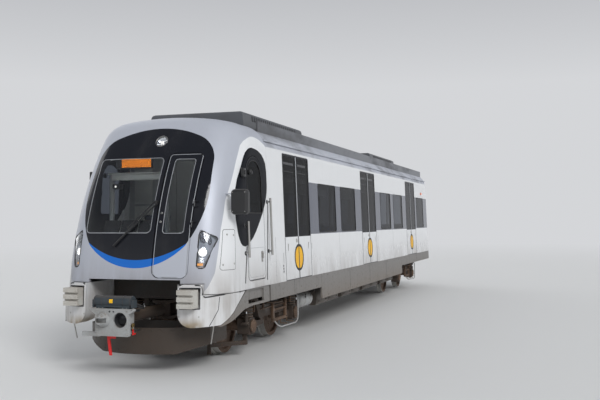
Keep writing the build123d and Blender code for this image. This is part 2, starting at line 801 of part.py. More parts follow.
def make_wiper():
    """Parallel-arm wiper on the pillar between windscreen and front door."""
    boss_root = on_face(WIPER_PIVOT, -5.0)
    boss = rod_x(WIPER_PIVOT[0], up(WIPER_PIVOT[1]), WIPER_BOSS_RADIUS, boss_root[0] + 12.0,
                 boss_root[0] + WIPER_PROUD + 20.0)
    arms = []
    for shift in (-16.0, 16.0):
        start = on_face((WIPER_PIVOT[0] + shift, WIPER_PIVOT[1] - shift), WIPER_PROUD)
        end = on_face((WIPER_ELBOW[0] + shift, WIPER_ELBOW[1] - shift), WIPER_PROUD)
        arms.append(bar(start, end, WIPER_ROD))
    blade = bar(on_face(BLADE_TOP, WIPER_PROUD), on_face(BLADE_FOOT, WIPER_PROUD), 1.6 * WIPER_ROD)
    joint = bar(on_face((WIPER_ELBOW[0] - 30.0, WIPER_ELBOW[1] + 30.0), WIPER_PROUD),
                on_face((WIPER_ELBOW[0] + 30.0, WIPER_ELBOW[1] - 30.0), WIPER_PROUD), WIPER_ROD)
    wiper = boss + arms[0] + arms[1] + blade + joint
    put("wiper", wiper - NOSE_OUT)


def make_rails():
    """Upright handrails beside the cab doors, on short stand-offs."""
    rails = []
    for back, low, high in RAIL_TABLE:
        x = NOSE_X - back
        top_y = side_y(high) + RAIL_STANDOFF
        low_y = side_y(low) + RAIL_STANDOFF
        rail = bar((x, low_y, up(low)), (x, top_y, up(high)), RAIL_RADIUS)
        for height in (low + 60.0, high - 60.0):
            y = side_y(height)
            rail = rail + rod_y(x, up(height), RAIL_FOOT_RADIUS, y - 20.0, y + RAIL_STANDOFF)
        rail = rail - NOSE_OUT
        rails.extend([rail, other_side(rail)])
    put("cab_handrails", *rails)


def mirror_levels():
    """Model heights of the middles of the two bracket ears."""
    return up(MIRROR_H[0] + MIRROR_EAR_INSET), up(MIRROR_H[1] - MIRROR_EAR_INSET)


def mirror_pin_y():
    """Distance of the mirror pins from the middle of the car."""
    return HALF_W + MIRROR_PIN_OUT


def mirror_bracket():
    """Two ears on the cab's left side with the mirror's pin between them."""
    x = NOSE_X - MIRROR_BACK
    y = mirror_pin_y()
    half = MIRROR_EAR_THICK / 2
    low, high = mirror_levels()
    bracket = rod_z(x, y, MIRROR_PIN_RADIUS, low, high)
    for z in (low, high):
        ear = block(x - MIRROR_EYE_RADIUS, x + MIRROR_EYE_RADIUS, MIRROR_EAR_ROOT_Y, y, z - half, z + half)
        bracket = bracket + ear + rod_z(x, y, MIRROR_EYE_RADIUS, z - half, z + half)
    return bracket


def make_mirror():
    """Folding mirror on the left side, ahead of its pin."""
    x = NOSE_X - MIRROR_BACK
    y = mirror_pin_y()
    low, high = mirror_levels()
    eye_low = low + MIRROR_EAR_THICK / 2 + SEAT_GAP
    eye_high = high - MIRROR_EAR_THICK / 2 - SEAT_GAP
    rear_x = x + MIRROR_STEP
    housing = block(rear_x, rear_x + MIRROR_DEPTH, *MIRROR_Y, up(MIRROR_H[0]), up(MIRROR_H[1]))
    housing = fillet(housing.edges().filter_by(Axis.X), MIRROR_DEPTH * 0.55)
    housing = fillet(housing.faces().sort_by(Axis.X)[-1].edges(), MIRROR_DEPTH * 0.4)
    eye = rod_z(x, y, MIRROR_EYE_RADIUS, eye_low, eye_high)
    web = block(x, rear_x + 10.0, y - MIRROR_WEB_HALF, y + MIRROR_WEB_HALF, eye_low, eye_high)
    bore = rod_z(x, y, MIRROR_PIN_RADIUS + PIN_CLEARANCE, low, high)
    put("mirror_left", (housing + eye + web) - bore)


# Front end under the mask

def bumper_outline(wall):
    """Outline of the left bumper cheek seen from the front, inset by a wall."""
    inner_y = POCKET_HALF + wall
    top = TAB_TOP_Z - BUMPER_GAP - wall
    shelf = FLOOR_Z - BUMPER_GAP - wall
    low = up(BUMPER_BOTTOM_H) + wall
    outer_low = up(BUMPER_OUTER_BOTTOM_H) + wall
    outer_y = 1.2 * HALF_W
    tab_y = BUMPER_TAB_HALF - BUMPER_GAP - wall
    points = [
        (inner_y, low), (BLOCK_CENTRE_Y + 60.0, low), (outer_y, outer_low), (outer_y, shelf),
        (tab_y, shelf), (tab_y, top), (inner_y, top)]
    face = polygon(points)
    corner = face.vertices().sort_by(Axis.X)[:2].sort_by(Axis.Y)[0]
    return fillet(corner, BUMPER_CORNER - wall)


def wheelhouse_face(shift):
    """Region behind the slanting rear edge of the bumper cheek, in side view."""
    front_x = NOSE_X - WHEELHOUSE_FRONT_BACK - shift
    rear_x = NOSE_X - WHEELHOUSE_REAR_BACK - shift
    low = up(BUMPER_BOTTOM_H) - 60.0
    return polygon([(front_x + 110.0, low), (rear_x, FLOOR_Z + 30.0), (CAB_X - 300.0, FLOOR_Z + 30.0),
                    (CAB_X - 300.0, low)])


def make_bumper():
    """Hollow bumper cheeks at both front corners, with a recess for the anti-climber block."""
    start_x = NOSE_X - 1300.0
    proud = Pos(BUMPER_PROUD, 0, 0)
    cheek = (proud * NOSE_OUT) & front_prism(bumper_outline(0.0), start_x, FORWARD_X)
    hollow = (proud * NOSE_BUMPER) & front_prism(bumper_outline(BUMPER_WALL), start_x - 10.0, FORWARD_X)
    cheek = cheek - hollow
    cheek = cheek - side_prism(wheelhouse_face(0.0), 0.5 * HALF_W, 1.3 * HALF_W)
    inboard = NOSE_SKIRT & block(start_x - 10.0, HEADSTOCK_X, 0, 1.3 * HALF_W, 0, up(POCKET_TOP_H) + 10.0)
    cheek = cheek - inboard
    low, high = BLOCK_H
    reach = BLOCK_WIDTH / 2 + BLOCK_CLEAR
    recess = block(NOSE_X - 400.0, FORWARD_X, BLOCK_CENTRE_Y - reach, BLOCK_CENTRE_Y + reach,
                   up(low) - BLOCK_CLEAR, up(high) + BLOCK_CLEAR)
    cheek = cheek - recess
    put("front_bumper", cheek, other_side(cheek))


def make_anti_climbers():
    """Ribbed anti-climber blocks on energy absorber tubes."""
    low, high = BLOCK_H
    front = NOSE_X + BLOCK_PROUD
    back = front - BLOCK_DEPTH
    body = block(back, front, BLOCK_CENTRE_Y - BLOCK_WIDTH / 2, BLOCK_CENTRE_Y + BLOCK_WIDTH / 2,
                 up(low), up(high))
    pitch = (high - low + BLOCK_RIB_GAP) / BLOCK_RIBS
    for i in range(1, BLOCK_RIBS):
        z = up(low) + i * pitch - BLOCK_RIB_GAP
        groove = block(front - BLOCK_RIB_DEPTH, front + 1.0, 0, HALF_W, z, z + BLOCK_RIB_GAP)
        body = body - groove
    middle = up((low + high) / 2)
    tube_box = block(HEADSTOCK_X, back, BLOCK_CENTRE_Y - ABSORBER_HALF, BLOCK_CENTRE_Y + ABSORBER_HALF,
                     middle - ABSORBER_HALF, middle + ABSORBER_HALF)
    body = body + tube_box
    put("anti_climbers", body, other_side(body))


def make_headstock():
    """Cross plate behind the coupler pocket, with the coupler's port and its anchor."""
    plate = block(HEADSTOCK_X - HEADSTOCK_THICK, HEADSTOCK_X, -HEADSTOCK_HALF, HEADSTOCK_HALF,
                  up(HEADSTOCK_BOTTOM_H), UNDER_Z)
    port = block(HEADSTOCK_X - 2 * HEADSTOCK_THICK, HEADSTOCK_X + 10.0, -HEADSTOCK_PORT_HALF,
                 HEADSTOCK_PORT_HALF, up(HEADSTOCK_PORT_BOTTOM_H), UNDER_Z - 30.0)
    corner_cut = block(HEADSTOCK_X - 2 * HEADSTOCK_THICK, HEADSTOCK_X + 10.0, POCKET_HALF + 60.0, HALF_W,
                       0.0, up(BLOCK_H[0]) - 30.0)
    put("headstock", plate - port - corner_cut - other_side(corner_cut))

    x = NOSE_X - COUPLER_PIVOT_BACK
    z = up(COUPLER_H)
    back = block(x - 260.0, x - 200.0, -ANCHOR_HALF, ANCHOR_HALF, z - EYE_HALF - ANCHOR_EAR, UNDER_Z)
    anchor = back
    for low in (z - EYE_HALF - ANCHOR_EAR, z + EYE_HALF):
        ear = block(x - 210.0, x, -ANCHOR_HALF, ANCHOR_HALF, low, low + ANCHOR_EAR)
        anchor = anchor + ear + rod_z(x, 0, ANCHOR_HALF, low, low + ANCHOR_EAR)
    anchor = anchor + rod_z(x, 0, PIVOT_PIN_RADIUS, z - EYE_HALF - 1.0, z + EYE_HALF + 1.0)
    put("coupler_anchor", anchor)


def make_plough():
    """Curved snow plough with side returns and two stays to the headstock."""
    centre_x = NOSE_X - PLOUGH_FRONT_BACK - PLOUGH_RADIUS
    end_x = centre_x + math.sqrt(PLOUGH_RADIUS ** 2 - PLOUGH_HALF ** 2)
    top = up(PLOUGH_TOP_H)
    low = up(PLOUGH_BOTTOM_H)
    ring = rod_z(centre_x, 0, PLOUGH_RADIUS, low, top) - rod_z(centre_x, 0, PLOUGH_RADIUS - PLOUGH_PLATE, low, top)
    plate = ring & block(end_x, NOSE_X, -PLOUGH_HALF, PLOUGH_HALF, low, top)
    corner = polygon([(PLOUGH_FLAT_HALF, low), (HALF_W, low), (HALF_W, up(PLOUGH_END_BOTTOM_H)),
                      (PLOUGH_HALF, up(PLOUGH_END_BOTTOM_H))])
    corner_cut = front_prism(corner, end_x - 900.0, NOSE_X)
    side = block(end_x - PLOUGH_RETURN, end_x + 6.0, PLOUGH_HALF - PLOUGH_PLATE, PLOUGH_HALF, low, top)
    plough = plate + side + other_side(side)
    stay_front = centre_x + math.sqrt((PLOUGH_RADIUS - PLOUGH_PLATE) ** 2 - PLOUGH_STAY_Y ** 2) + 8.0
    stay = block(HEADSTOCK_X, stay_front, PLOUGH_STAY_Y - 10.0, PLOUGH_STAY_Y + 10.0,
                 up(PLOUGH_STAY_BOTTOM_H), top)
    plough = plough + stay + other_side(stay)
    put("snow_plough", plough - corner_cut - other_side(corner_cut))


# Coupler

def coupler_plate(low, high):
    """Face plate of the coupler head, with a wing along each side of its top."""
    wing_z = high - PLATE_WING_DEPTH
    root_z = wing_z - PLATE_WING_TAPER
    left = [(PLATE_HALF, low), (PLATE_HALF, root_z), (PLATE_WING_HALF, wing_z), (PLATE_WING_HALF, high)]
    right = [(-y, z) for y, z in reversed(left)]
    face = polygon(left + right)
    low_corners = face.vertices().group_by(Axis.Y)[0]
    return front_prism(fillet(low_corners, PLATE_CORNER), FRONT_X - PLATE_THICK, FRONT_X)


def make_coupler():
    """Automatic coupler: head with cone and cup, shank with its eye, cover and uncoupling lever."""
    z = up(COUPLER_H)
    back = FRONT_X - HEAD_DEPTH
    low, high = up(HEAD_H[0]), up(HEAD_H[1])
    head = coupler_plate(low, high) + block(back, FRONT_X - 1.0, -HOUSING_HALF, HOUSING_HALF, low, high)
    boss_back = FRONT_X - CUP_DEPTH - CUP_WALL
    head = head + rod_x(HEAD_PORT_Y, z, CUP_RADIUS + CUP_WALL, boss_back, FRONT_X - 1.0)
    head = head - rod_x(HEAD_PORT_Y, z, CUP_RADIUS, FRONT_X - CUP_DEPTH, FRONT_X + 10.0)
    cone = Pos(FRONT_X + CONE_REACH / 2, -HEAD_PORT_Y, z) * Rot(0, 90, 0)
    cone = cone * Cone(CONE_BASE_RADIUS, CONE_TIP_RADIUS, CONE_REACH)
    slot = block(FRONT_X + CONE_SLOT_FLOOR, FRONT_X + 2 * CONE_REACH, -HEAD_PORT_Y - CONE_SLOT_HALF,
                 -HEAD_PORT_Y + CONE_SLOT_HALF, z - CONE_SLOT_HEIGHT / 2, z + CONE_SLOT_HEIGHT / 2)
    head = head + (cone - slot)
    root_y = -PLATE_HALF + 60.0
    guide_face = polygon([(FRONT_X - 5.0, root_y), (FRONT_X - 20.0, HEAD_GUIDE_TIP_Y),
                          (FRONT_X - 55.0, HEAD_GUIDE_TIP_Y), (FRONT_X - PLATE_THICK, root_y)])
    head = head + top_prism(guide_face, up(HEAD_GUIDE_H[0]), up(HEAD_GUIDE_H[1]))
    put("coupler_head", head)

    x = NOSE_X - COUPLER_PIVOT_BACK
    shank = rod_x(0, z, SHANK_RADIUS, x, back)
    eye = rod_z(x, 0, EYE_RADIUS, z - EYE_HALF + SEAT_GAP, z + EYE_HALF - SEAT_GAP)
    flange = rod_x(0, z, 1.45 * SHANK_RADIUS, back - 40.0, back)
    shank = (shank + eye + flange) - rod_z(x, 0, PIVOT_PIN_RADIUS + PIN_CLEARANCE, z - 200.0, z + 200.0)
    put("coupler_shank", shank)

    cover_z = up(COVER_H)
    cover_x = FRONT_X - COVER_BACK
    cover = rod_y(cover_x, cover_z, COVER_RADIUS, -COVER_HALF, COVER_HALF)
    seat = block(cover_x - 50.0, cover_x + 50.0, -PLATE_HALF, PLATE_HALF, high, cover_z)
    cover = cover + seat
    for side in (1, -1):
        ear = block(cover_x - 60.0, cover_x + 60.0, side * COVER_HALF, side * (COVER_HALF + COVER_EAR),
                    high + 10.0, cover_z + 20.0)
        cover = cover + ear
    put("coupler_cover", cover)

    half = LEVER_WIDTH / 2
    foot_y = LEVER_Y + LEVER_SWAY
    foot_z = low - LEVER_DROP
    hook_y = LEVER_Y + LEVER_HOOK
    outline = polygon([(LEVER_Y - half, low), (hook_y, low), (hook_y, low - LEVER_WIDTH),
                       (LEVER_Y + half, low - LEVER_WIDTH), (foot_y + LEVER_FOOT / 2, foot_z),
                       (foot_y - LEVER_FOOT / 2, foot_z)])
    lever_x = FRONT_X - HEAD_DEPTH / 3
    put("uncoupling_lever", front_prism(outline, lever_x - LEVER_THICK, lever_x))


# Floor, skirts and underfloor gear

def make_floor():
    """Floor plate of the whole car, inside the skirts."""
    rear = tube(SKIRT_THICK, REAR_X, CAB_X)
    front = NOSE_SKIRT & block(CAB_X - 1.0, HEADSTOCK_X, -1.2 * HALF_W, 1.2 * HALF_W, 0, up(CROWN_H))
    slab = block(REAR_X, HEADSTOCK_X, -1.2 * HALF_W, 1.2 * HALF_W, UNDER_Z, FLOOR_Z)
    floor = (rear + front) & slab

    deck = block(HEADSTOCK_X - CAB_FLOOR_THICK, FORWARD_X, -1.2 * HALF_W, 1.2 * HALF_W,
                 up(CAB_FLOOR_H) - CAB_FLOOR_THICK, up(CAB_FLOOR_H))
    riser = block(HEADSTOCK_X - CAB_FLOOR_THICK, HEADSTOCK_X, -1.2 * HALF_W, 1.2 * HALF_W,
                  UNDER_Z + 1.0, up(CAB_FLOOR_H))
    floor = floor + ((deck + riser) & NOSE_LINING)

    y = HALF_W - PAD_INBOARD
    for x in (DEEP_FRONT_X - PAD_BEHIND, DEEP_REAR_X + PAD_BEHIND):
        pad = block(x - PAD_SIZE / 2, x + PAD_SIZE / 2, y - PAD_SIZE / 2, y + PAD_SIZE / 2,
                    up(PAD_BOTTOM_H), UNDER_Z + 1.0)
        floor = floor + pad + other_side(pad)
    for x in (FRONT_BOGIE_X, REAR_BOGIE_X):
        floor = floor + rod_z(x, 0, PIVOT_RADIUS, up(BOSS_H[0]) + 10.0, UNDER_Z + 1.0)
    put("floor_frame", floor)


def skirt_panel(points, form, inner):
    """Thin panel that follows a form, with an outline in side view."""
    skin = form - inner
    return skin & side_prism(polygon(points), 0.5 * HALF_W, 1.3 * HALF_W)


def make_skirts():
    """Side skirts: slanting front piece, deep middle piece between the bogies, and rear piece."""
    top = FLOOR_Z
    shallow = up(SKIRT_SHALLOW_H)
    deep = up(SKIRT_DEEP_H)
    front_low = up(BUMPER_BOTTOM_H)
    x0 = NOSE_X - WHEELHOUSE_FRONT_BACK - BUMPER_GAP
    x1 = NOSE_X - WHEELHOUSE_REAR_BACK - BUMPER_GAP
    slant = [(x1, top), (CAB_X, top), (CAB_X, shallow), (x1 - 150.0, shallow),
             (x1 + 130.0, shallow - 25.0), (x0 - 30.0, front_low)]
    proud = Pos(BUMPER_PROUD, 0, 0)
    front = skirt_panel(slant + [(x0, front_low)], proud * NOSE_OUT, proud * NOSE_SKIRT)
    niche = block(NOSE_X - NICHE_BACK[1], NOSE_X - NICHE_BACK[0], HALF_W - NICHE_DEPTH, 1.3 * HALF_W,
                  up(NICHE_H[0]), up(NICHE_H[1]))
    front = front - niche
    outer = tube(0.0, REAR_X, CAB_X)
    inner = tube(SKIRT_THICK, REAR_X, CAB_X)
    panels = [front]
    table = [
        (DEEP_FRONT_X + BUMPER_GAP, CAB_X - BUMPER_GAP, shallow),
        (DEEP_REAR_X, DEEP_FRONT_X, deep),
        (REAR_X, DEEP_REAR_X - BUMPER_GAP, shallow),
    ]
    for back, lead, low in table:
        points = [(back, low), (lead, low), (lead, top), (back, top)]
        panels.append(skirt_panel(points, outer, inner))
    mirrored = [other_side(panel) for panel in panels]
    put("side_skirts", *panels, *mirrored)


def make_cases():
    """Equipment cases hung under the floor between the bogies, and the air tank behind the front one."""
    span = DEEP_FRONT_X - DEEP_REAR_X - 2 * CASE_GAP
    length = (span - (CASE_COUNT - 1) * CASE_GAP) / CASE_COUNT
    cases = []
    for i in range(CASE_COUNT):
        x = DEEP_REAR_X + CASE_GAP + i * (length + CASE_GAP)
        case = block(x, x + length, -CASE_HALF, CASE_HALF, up(CASE_BOTTOM_H), UNDER_Z)
        case = fillet(case.edges().filter_by(Axis.X).group_by(Axis.Z)[0], CASE_CORNER)
        cases.append(case)
    put("equipment_cases", *cases)

    x0, x1 = NOSE_X - TANK_BACK[1], NOSE_X - TANK_BACK[0]
    z = up(TANK_H)
    tank = rod_x(TANK_Y, z, TANK_RADIUS, x0, x1)
    tank = fillet(tank.edges().filter_by(GeomType.CIRCLE), TANK_RADIUS * 0.45)
    for x in (x0 + 0.25 * (x1 - x0), x0 + 0.75 * (x1 - x0)):
        band = rod_x(TANK_Y, z, TANK_RADIUS + 6.0, x - TANK_STRAP / 2, x + TANK_STRAP / 2)
        hanger = block(x - TANK_STRAP / 2, x + TANK_STRAP / 2, TANK_Y - 50.0, TANK_Y + 50.0, z, UNDER_Z)
        tank = tank + band + hanger
    put("air_tank", tank)


# Saloon body

def door_cut(centre, side):
    """Opening for one pair of door leaves."""
    half = DOOR_WIDTH / 2 + PANEL_GAP
    outline = rounded_rect(centre - half, centre + half, FLOOR_Z - 60.0, up(DOOR_TOP_H) + PANEL_GAP, LEAF_CORNER)
    return side_prism(outline, *side_span(side))


def window_spans():
    """Start and end of each side window: two in each bay between doors and one behind the last."""
    spans = []
    for i in range(DOOR_COUNT - 1):
        low = DOOR_XS[i + 1] + DOOR_WIDTH / 2 + END_PILLAR
        high = DOOR_XS[i] - DOOR_WIDTH / 2 - END_PILLAR
        width = (high - low - MIDDLE_PILLAR) / 2
        spans.append((low, low + width))
        spans.append((high - width, high))
    high = DOOR_XS[-1] - DOOR_WIDTH / 2 - END_PILLAR / 2
    spans.append((high - END_WINDOW_WIDTH, high))
    return spans


def make_sides():
    """Side walls with their door openings, windows, door leaves and door glass."""
    start_x = REAR_X + WALL
    skin = tube_skin(0.0, WALL, start_x, BODY_X)
    pane_skin = tube_skin(GLASS_INSET, GLASS_INSET + GLASS_THICK, start_x, BODY_X)
    leaf_skin = tube_skin(0.0, LEAF_THICK, start_x, BODY_X)
    panes = []
    leaf_panes = []
    for name, side in (("left", 1), ("right", -1)):
        wall = skin & block(start_x, BODY_X, *side_span(side), FLOOR_Z, CANT_Z)
        for centre in DOOR_XS:
            wall = wall - door_cut(centre, side)
        for low, high in window_spans():
            outline = rounded_rect(low, high, up(BAND_BOTTOM_H), up(BAND_TOP_H), WINDOW_CORNER)
            cut = side_prism(outline, *side_span(side))
            wall = wall - cut
            panes.append(pane_skin & cut)
        put(name + "_side_wall", wall)

        leaves = []
        for centre in DOOR_XS:
            for step in (-1, 1):
                near = centre + step * LEAF_GAP / 2
                far = centre + step * DOOR_WIDTH / 2
                x0, x1 = min(near, far), max(near, far)
                outline = rounded_rect(x0, x1, FLOOR_Z + SEAT_GAP, up(DOOR_TOP_H), LEAF_CORNER)
                leaf = leaf_skin & side_prism(outline, *side_span(side))
                glass = rounded_rect(x0 + LEAF_FRAME, x1 - LEAF_FRAME, up(DOOR_GLASS_BOTTOM_H),
                                     up(DOOR_GLASS_TOP_H), LEAF_CORNER)
                cut = side_prism(glass, *side_span(side))
                leaves.append(leaf - cut)
                leaf_panes.append(pane_skin & cut)
        put(name + "_door_leaves", *leaves)
    put("saloon_windows", *panes)
    put("saloon_door_glass", *leaf_panes)


def make_roof():
    """Roof shell with gutters and side fairings, and the equipment pods on it."""
    start_x = REAR_X + WALL
    roof = tube_skin(0.0, WALL, start_x, BODY_X)
    roof = roof & block(start_x, BODY_X, -1.2 * HALF_W, 1.2 * HALF_W, CANT_Z, up(CROWN_H) + 10.0)
    gutter = block(start_x, BODY_X, GUTTER_Y - GUTTER_DEPTH, GUTTER_Y, up(GUTTER_H[0]), up(GUTTER_H[1]))
    fairing = block(start_x, NOSE_X - FAIRING_FRONT_BACK, FAIRING_Y, FAIRING_Y + FAIRING_THICK,
                    up(CANTRAIL_H), up(FAIRING_TOP_H)) - tube(0.5 * WALL, REAR_X, CAB_X)
    rail = gutter + fairing
    put("roof_shell", roof + rail + other_side(rail))

    cover = tube(-SEAT_GAP, REAR_X, CAB_X)
    pods = []
    for front_back, rear_back in (POD_BACK, REAR_POD_BACK):
        outline = polygon([(-POD_HALF, up(CANTRAIL_H)), (POD_HALF, up(CANTRAIL_H)),
                           (POD_TOP_HALF, up(POD_TOP_H)), (-POD_TOP_HALF, up(POD_TOP_H))])
        pod = front_prism(outline, NOSE_X - rear_back, NOSE_X - front_back)
        pod = fillet(pod.faces().sort_by(Axis.Z)[-1].edges(), POD_CORNER)
        pods.append(pod - cover)
    put("roof_pods", *pods)


def make_end():
    """Rear end wall, gangway frames and folds, and the drawbar."""
    low, high = up(GANGWAY_H[0]), up(GANGWAY_H[1])
    half = GANGWAY_HALF
    wall_form = tube(0.0, REAR_X, REAR_X + WALL)
    wall_form = wall_form & block(REAR_X, REAR_X + WALL, -1.2 * HALF_W, 1.2 * HALF_W, FLOOR_Z, up(CROWN_H))
    way = rounded_rect(-half + GANGWAY_WALL, half - GANGWAY_WALL, low + GANGWAY_WALL, high - GANGWAY_WALL,
                       GANGWAY_CORNER - GANGWAY_WALL)
    way_cut = front_prism(way, BACK_X - 10.0, REAR_X + WALL + 10.0)
    put("rear_end_wall", wall_form - way_cut)

    rim = rounded_rect(-half, half, low, high, GANGWAY_CORNER)
    gangway = front_prism(rim, REAR_X - GANGWAY_FRAME, REAR_X) + front_prism(rim, BACK_X, BACK_X + GANGWAY_FRAME)

    start = BACK_X + GANGWAY_FRAME
    pitch = (REAR_X - GANGWAY_FRAME - start) / FOLD_COUNT
    spread = math.degrees(math.atan(FOLD_HEIGHT / (pitch / 2)))
    valley = rounded_rect(-half + FOLD_HEIGHT, half - FOLD_HEIGHT, low + FOLD_HEIGHT, high - FOLD_HEIGHT,
                          GANGWAY_CORNER - FOLD_HEIGHT)
    for i in range(FOLD_COUNT):
        x = start + i * pitch
        rise = extrude(Plane.YZ.offset(x) * valley, amount=pitch / 2, taper=-spread)
        fall = extrude(Plane.YZ.offset(x + pitch) * valley, amount=-pitch / 2, taper=-spread)
        gangway = gangway + rise + fall
    put("gangway", gangway - way_cut)

    z = up(COUPLER_H)
    root_x = REAR_X + DRAWBAR_ROOT
    drawbar = rod_x(0, z, DRAWBAR_RADIUS, BACK_X, root_x)
    flange = rod_x(0, z, DRAWBAR_FLANGE_RADIUS, BACK_X, BACK_X + DRAWBAR_FLANGE_THICK)
    drawbar = drawbar + flange
    for i in range(DRAWBAR_BOLTS):
        turn = 2 * math.pi * (i + 0.5) / DRAWBAR_BOLTS
        y = DRAWBAR_PCD / 2 * math.cos(turn)
        hole_z = z + DRAWBAR_PCD / 2 * math.sin(turn)
        drawbar = drawbar - rod_x(y, hole_z, DRAWBAR_BOLT_RADIUS, BACK_X - 1.0, BACK_X + DRAWBAR_FLANGE_THICK + 1.0)
    anchor = block(root_x - 120.0, root_x + 40.0, -160.0, 160.0, z - 130.0, UNDER_Z)
    put("rear_drawbar", drawbar + anchor)


# Interior

def make_bulkhead():
    """Wall between cab and saloon, with a hinged door."""
    rear_x = BODY_X - BULKHEAD_THICK
    wall = tube(WALL + SEAT_GAP, rear_x, BODY_X)
    wall = wall & block(rear_x, BODY_X, -HALF_W, HALF_W, FLOOR_Z, up(CROWN_H))
    half = BULKHEAD_DOOR_HALF
    way = block(rear_x - 10.0, BODY_X + 10.0, -half, half, FLOOR_Z, up(BULKHEAD_DOOR_TOP_H))
    wall = wall - way
    gap = BULKHEAD_DOOR_GAP
    leaf = block(rear_x, BODY_X - 10.0, -half + gap, half - gap, FLOOR_Z + gap, up(BULKHEAD_DOOR_TOP_H) - gap)
    for height in BULKHEAD_HINGE_HEIGHTS:
        place = Pos(rear_x - HINGE_PROUD, half, up(height)) * Rot(0, 0, -90)
        wall = wall - place * hinge_room() + place * hinge_frame_leaf(HINGE_PROUD + HINGE_ROOM)
        leaf = leaf - place * hinge_room() + place * hinge_door_leaf(HINGE_PROUD + HINGE_ROOM)
    put("cab_bulkhead", wall)
    put("bulkhead_door", leaf)


def bench(x0, x1):
    """Longitudinal bench against the left side wall."""
    def wall_y(height):
        return side_y(height, WALL + SEAT_GAP)
    base = FLOOR_H
    seat = FLOOR_H + BENCH_TOP_H
    top = FLOOR_H + BENCH_BACK_H
    front = wall_y(seat) - BENCH_DEPTH
    points = [
        (wall_y(base), up(base)), (wall_y(top), up(top)), (wall_y(top) - 45.0, up(top)),
        (wall_y(seat) - 95.0, up(seat)), (front, up(seat)), (front, up(seat - BENCH_PAN)),
        (front + 110.0, up(seat - BENCH_PAN)), (front + 110.0, up(base))]
    return front_prism(polygon(points), x0, x1)


def make_saloon():
    """Benches under the windows, and grab poles beside the doors."""
    benches = []
    for i in range(DOOR_COUNT - 1):
        x0 = DOOR_XS[i + 1] + DOOR_WIDTH / 2 + BENCH_MARGIN
        x1 = DOOR_XS[i] - DOOR_WIDTH / 2 - BENCH_MARGIN
        benches.append(bench(x0, x1))
    end_x1 = DOOR_XS[-1] - DOOR_WIDTH / 2 - BENCH_MARGIN
    benches.append(bench(REAR_X + WALL + BENCH_MARGIN, end_x1))
    benches.extend([other_side(each) for each in list(benches)])
    put("passenger_benches", *benches)

    poles = []
    top = roof_z(POLE_Y, WALL) - 8.0
    for centre in DOOR_XS:
        for step in (-1, 1):
            pole = rod_z(centre + step * POLE_X, POLE_Y, POLE_RADIUS, FLOOR_Z, top + 60.0)
            pole = pole & tube(WALL + SEAT_GAP, REAR_X, CAB_X)
            poles.extend([pole, other_side(pole)])
    put("grab_poles", *poles)


def make_driver_place():
    """Driver's desk and seat on the raised cab floor."""
    front_x = NOSE_X - DESK_BACK[0]
    rear_x = NOSE_X - DESK_BACK[1]
    deck = up(CAB_FLOOR_H)
    top = up(DESK_TOP_H)
    points = [(rear_x + 120.0, deck), (rear_x + 120.0, top - 190.0), (rear_x, top - 120.0),
              (rear_x, top - 60.0), (front_x - 150.0, top), (front_x, top), (front_x, deck)]
    desk = side_prism(polygon(points), *DESK_Y) & NOSE_LINING
    put("driver_desk", desk)

    x = NOSE_X - DRIVER_SEAT_BACK
    y = DRIVER_SEAT_Y
    half = DRIVER_SEAT_HALF
    low, high = up(CUSHION_H[0]), up(CUSHION_H[1])
    post = rod_z(x, y, 45.0, FLOOR_Z, low)
    foot = rod_z(x, y, 150.0, FLOOR_Z, FLOOR_Z + 20.0)
    cushion = block(x - half, x + half, y - half, y + half, low, high)
    cushion = fillet(cushion.edges().filter_by(Axis.Z), 60.0)
    back = block(x - half - 20.0, x - half + 80.0, y - half + 10.0, y + half - 10.0, low, up(BACKREST_TOP_H))
    back = fillet(back.edges().filter_by(Axis.X), 60.0)
    put("driver_seat", post + foot + cushion + back)


# Bogies

def wheelset(x):
    """Two flanged wheels and a brake disc on an axle with outside journals."""
    inner_y = GAUGE / 2 - FLANGE_WIDTH - 5.0
    outer_y = inner_y + FLANGE_WIDTH + TREAD_WIDTH
    flange_r = WHEEL_RADIUS + FLANGE_DEPTH
    rim_r = WHEEL_RADIUS - RIM_THICK
    web_y = (inner_y + outer_y) / 2
    hub_in = web_y - HUB_WIDTH / 2
    hub_out = web_y + HUB_WIDTH / 2
    journal_end = FRAME_CENTRE_Y + AXLEBOX_WIDTH / 2 - 25.0
    profile = [
        (0, 0), (AXLE_RADIUS, 0), (AXLE_RADIUS, hub_in), (HUB_RADIUS, hub_in), (HUB_RADIUS, web_y - WEB_THICK),
        (rim_r, web_y - WEB_THICK / 2), (rim_r, inner_y), (flange_r - 12.0, inner_y), (flange_r, inner_y + 12.0),
        (flange_r - 10.0, inner_y + FLANGE_WIDTH - 8.0), (WHEEL_RADIUS, inner_y + FLANGE_WIDTH),
        (WHEEL_RADIUS - 4.0, outer_y), (rim_r, outer_y), (rim_r, web_y + WEB_THICK / 2),
        (HUB_RADIUS, web_y + WEB_THICK), (HUB_RADIUS, hub_out), (AXLE_RADIUS, hub_out),
        (AXLE_RADIUS, FRAME_CENTRE_Y - AXLEBOX_WIDTH / 2 - 20.0),
        (JOURNAL_RADIUS, FRAME_CENTRE_Y - AXLEBOX_WIDTH / 2 - 20.0), (JOURNAL_RADIUS, journal_end), (0, journal_end)]
    half = revolve(Plane.XY * polygon(profile), Axis.Y, 360)
    pair = half + other_side(half)
    disc = rod_y(0, 0, DISC_RADIUS, DISC_Y - DISC_THICK / 2, DISC_Y + DISC_THICK / 2)
    return Pos(x, 0, AXLE_Z) * (pair + disc)


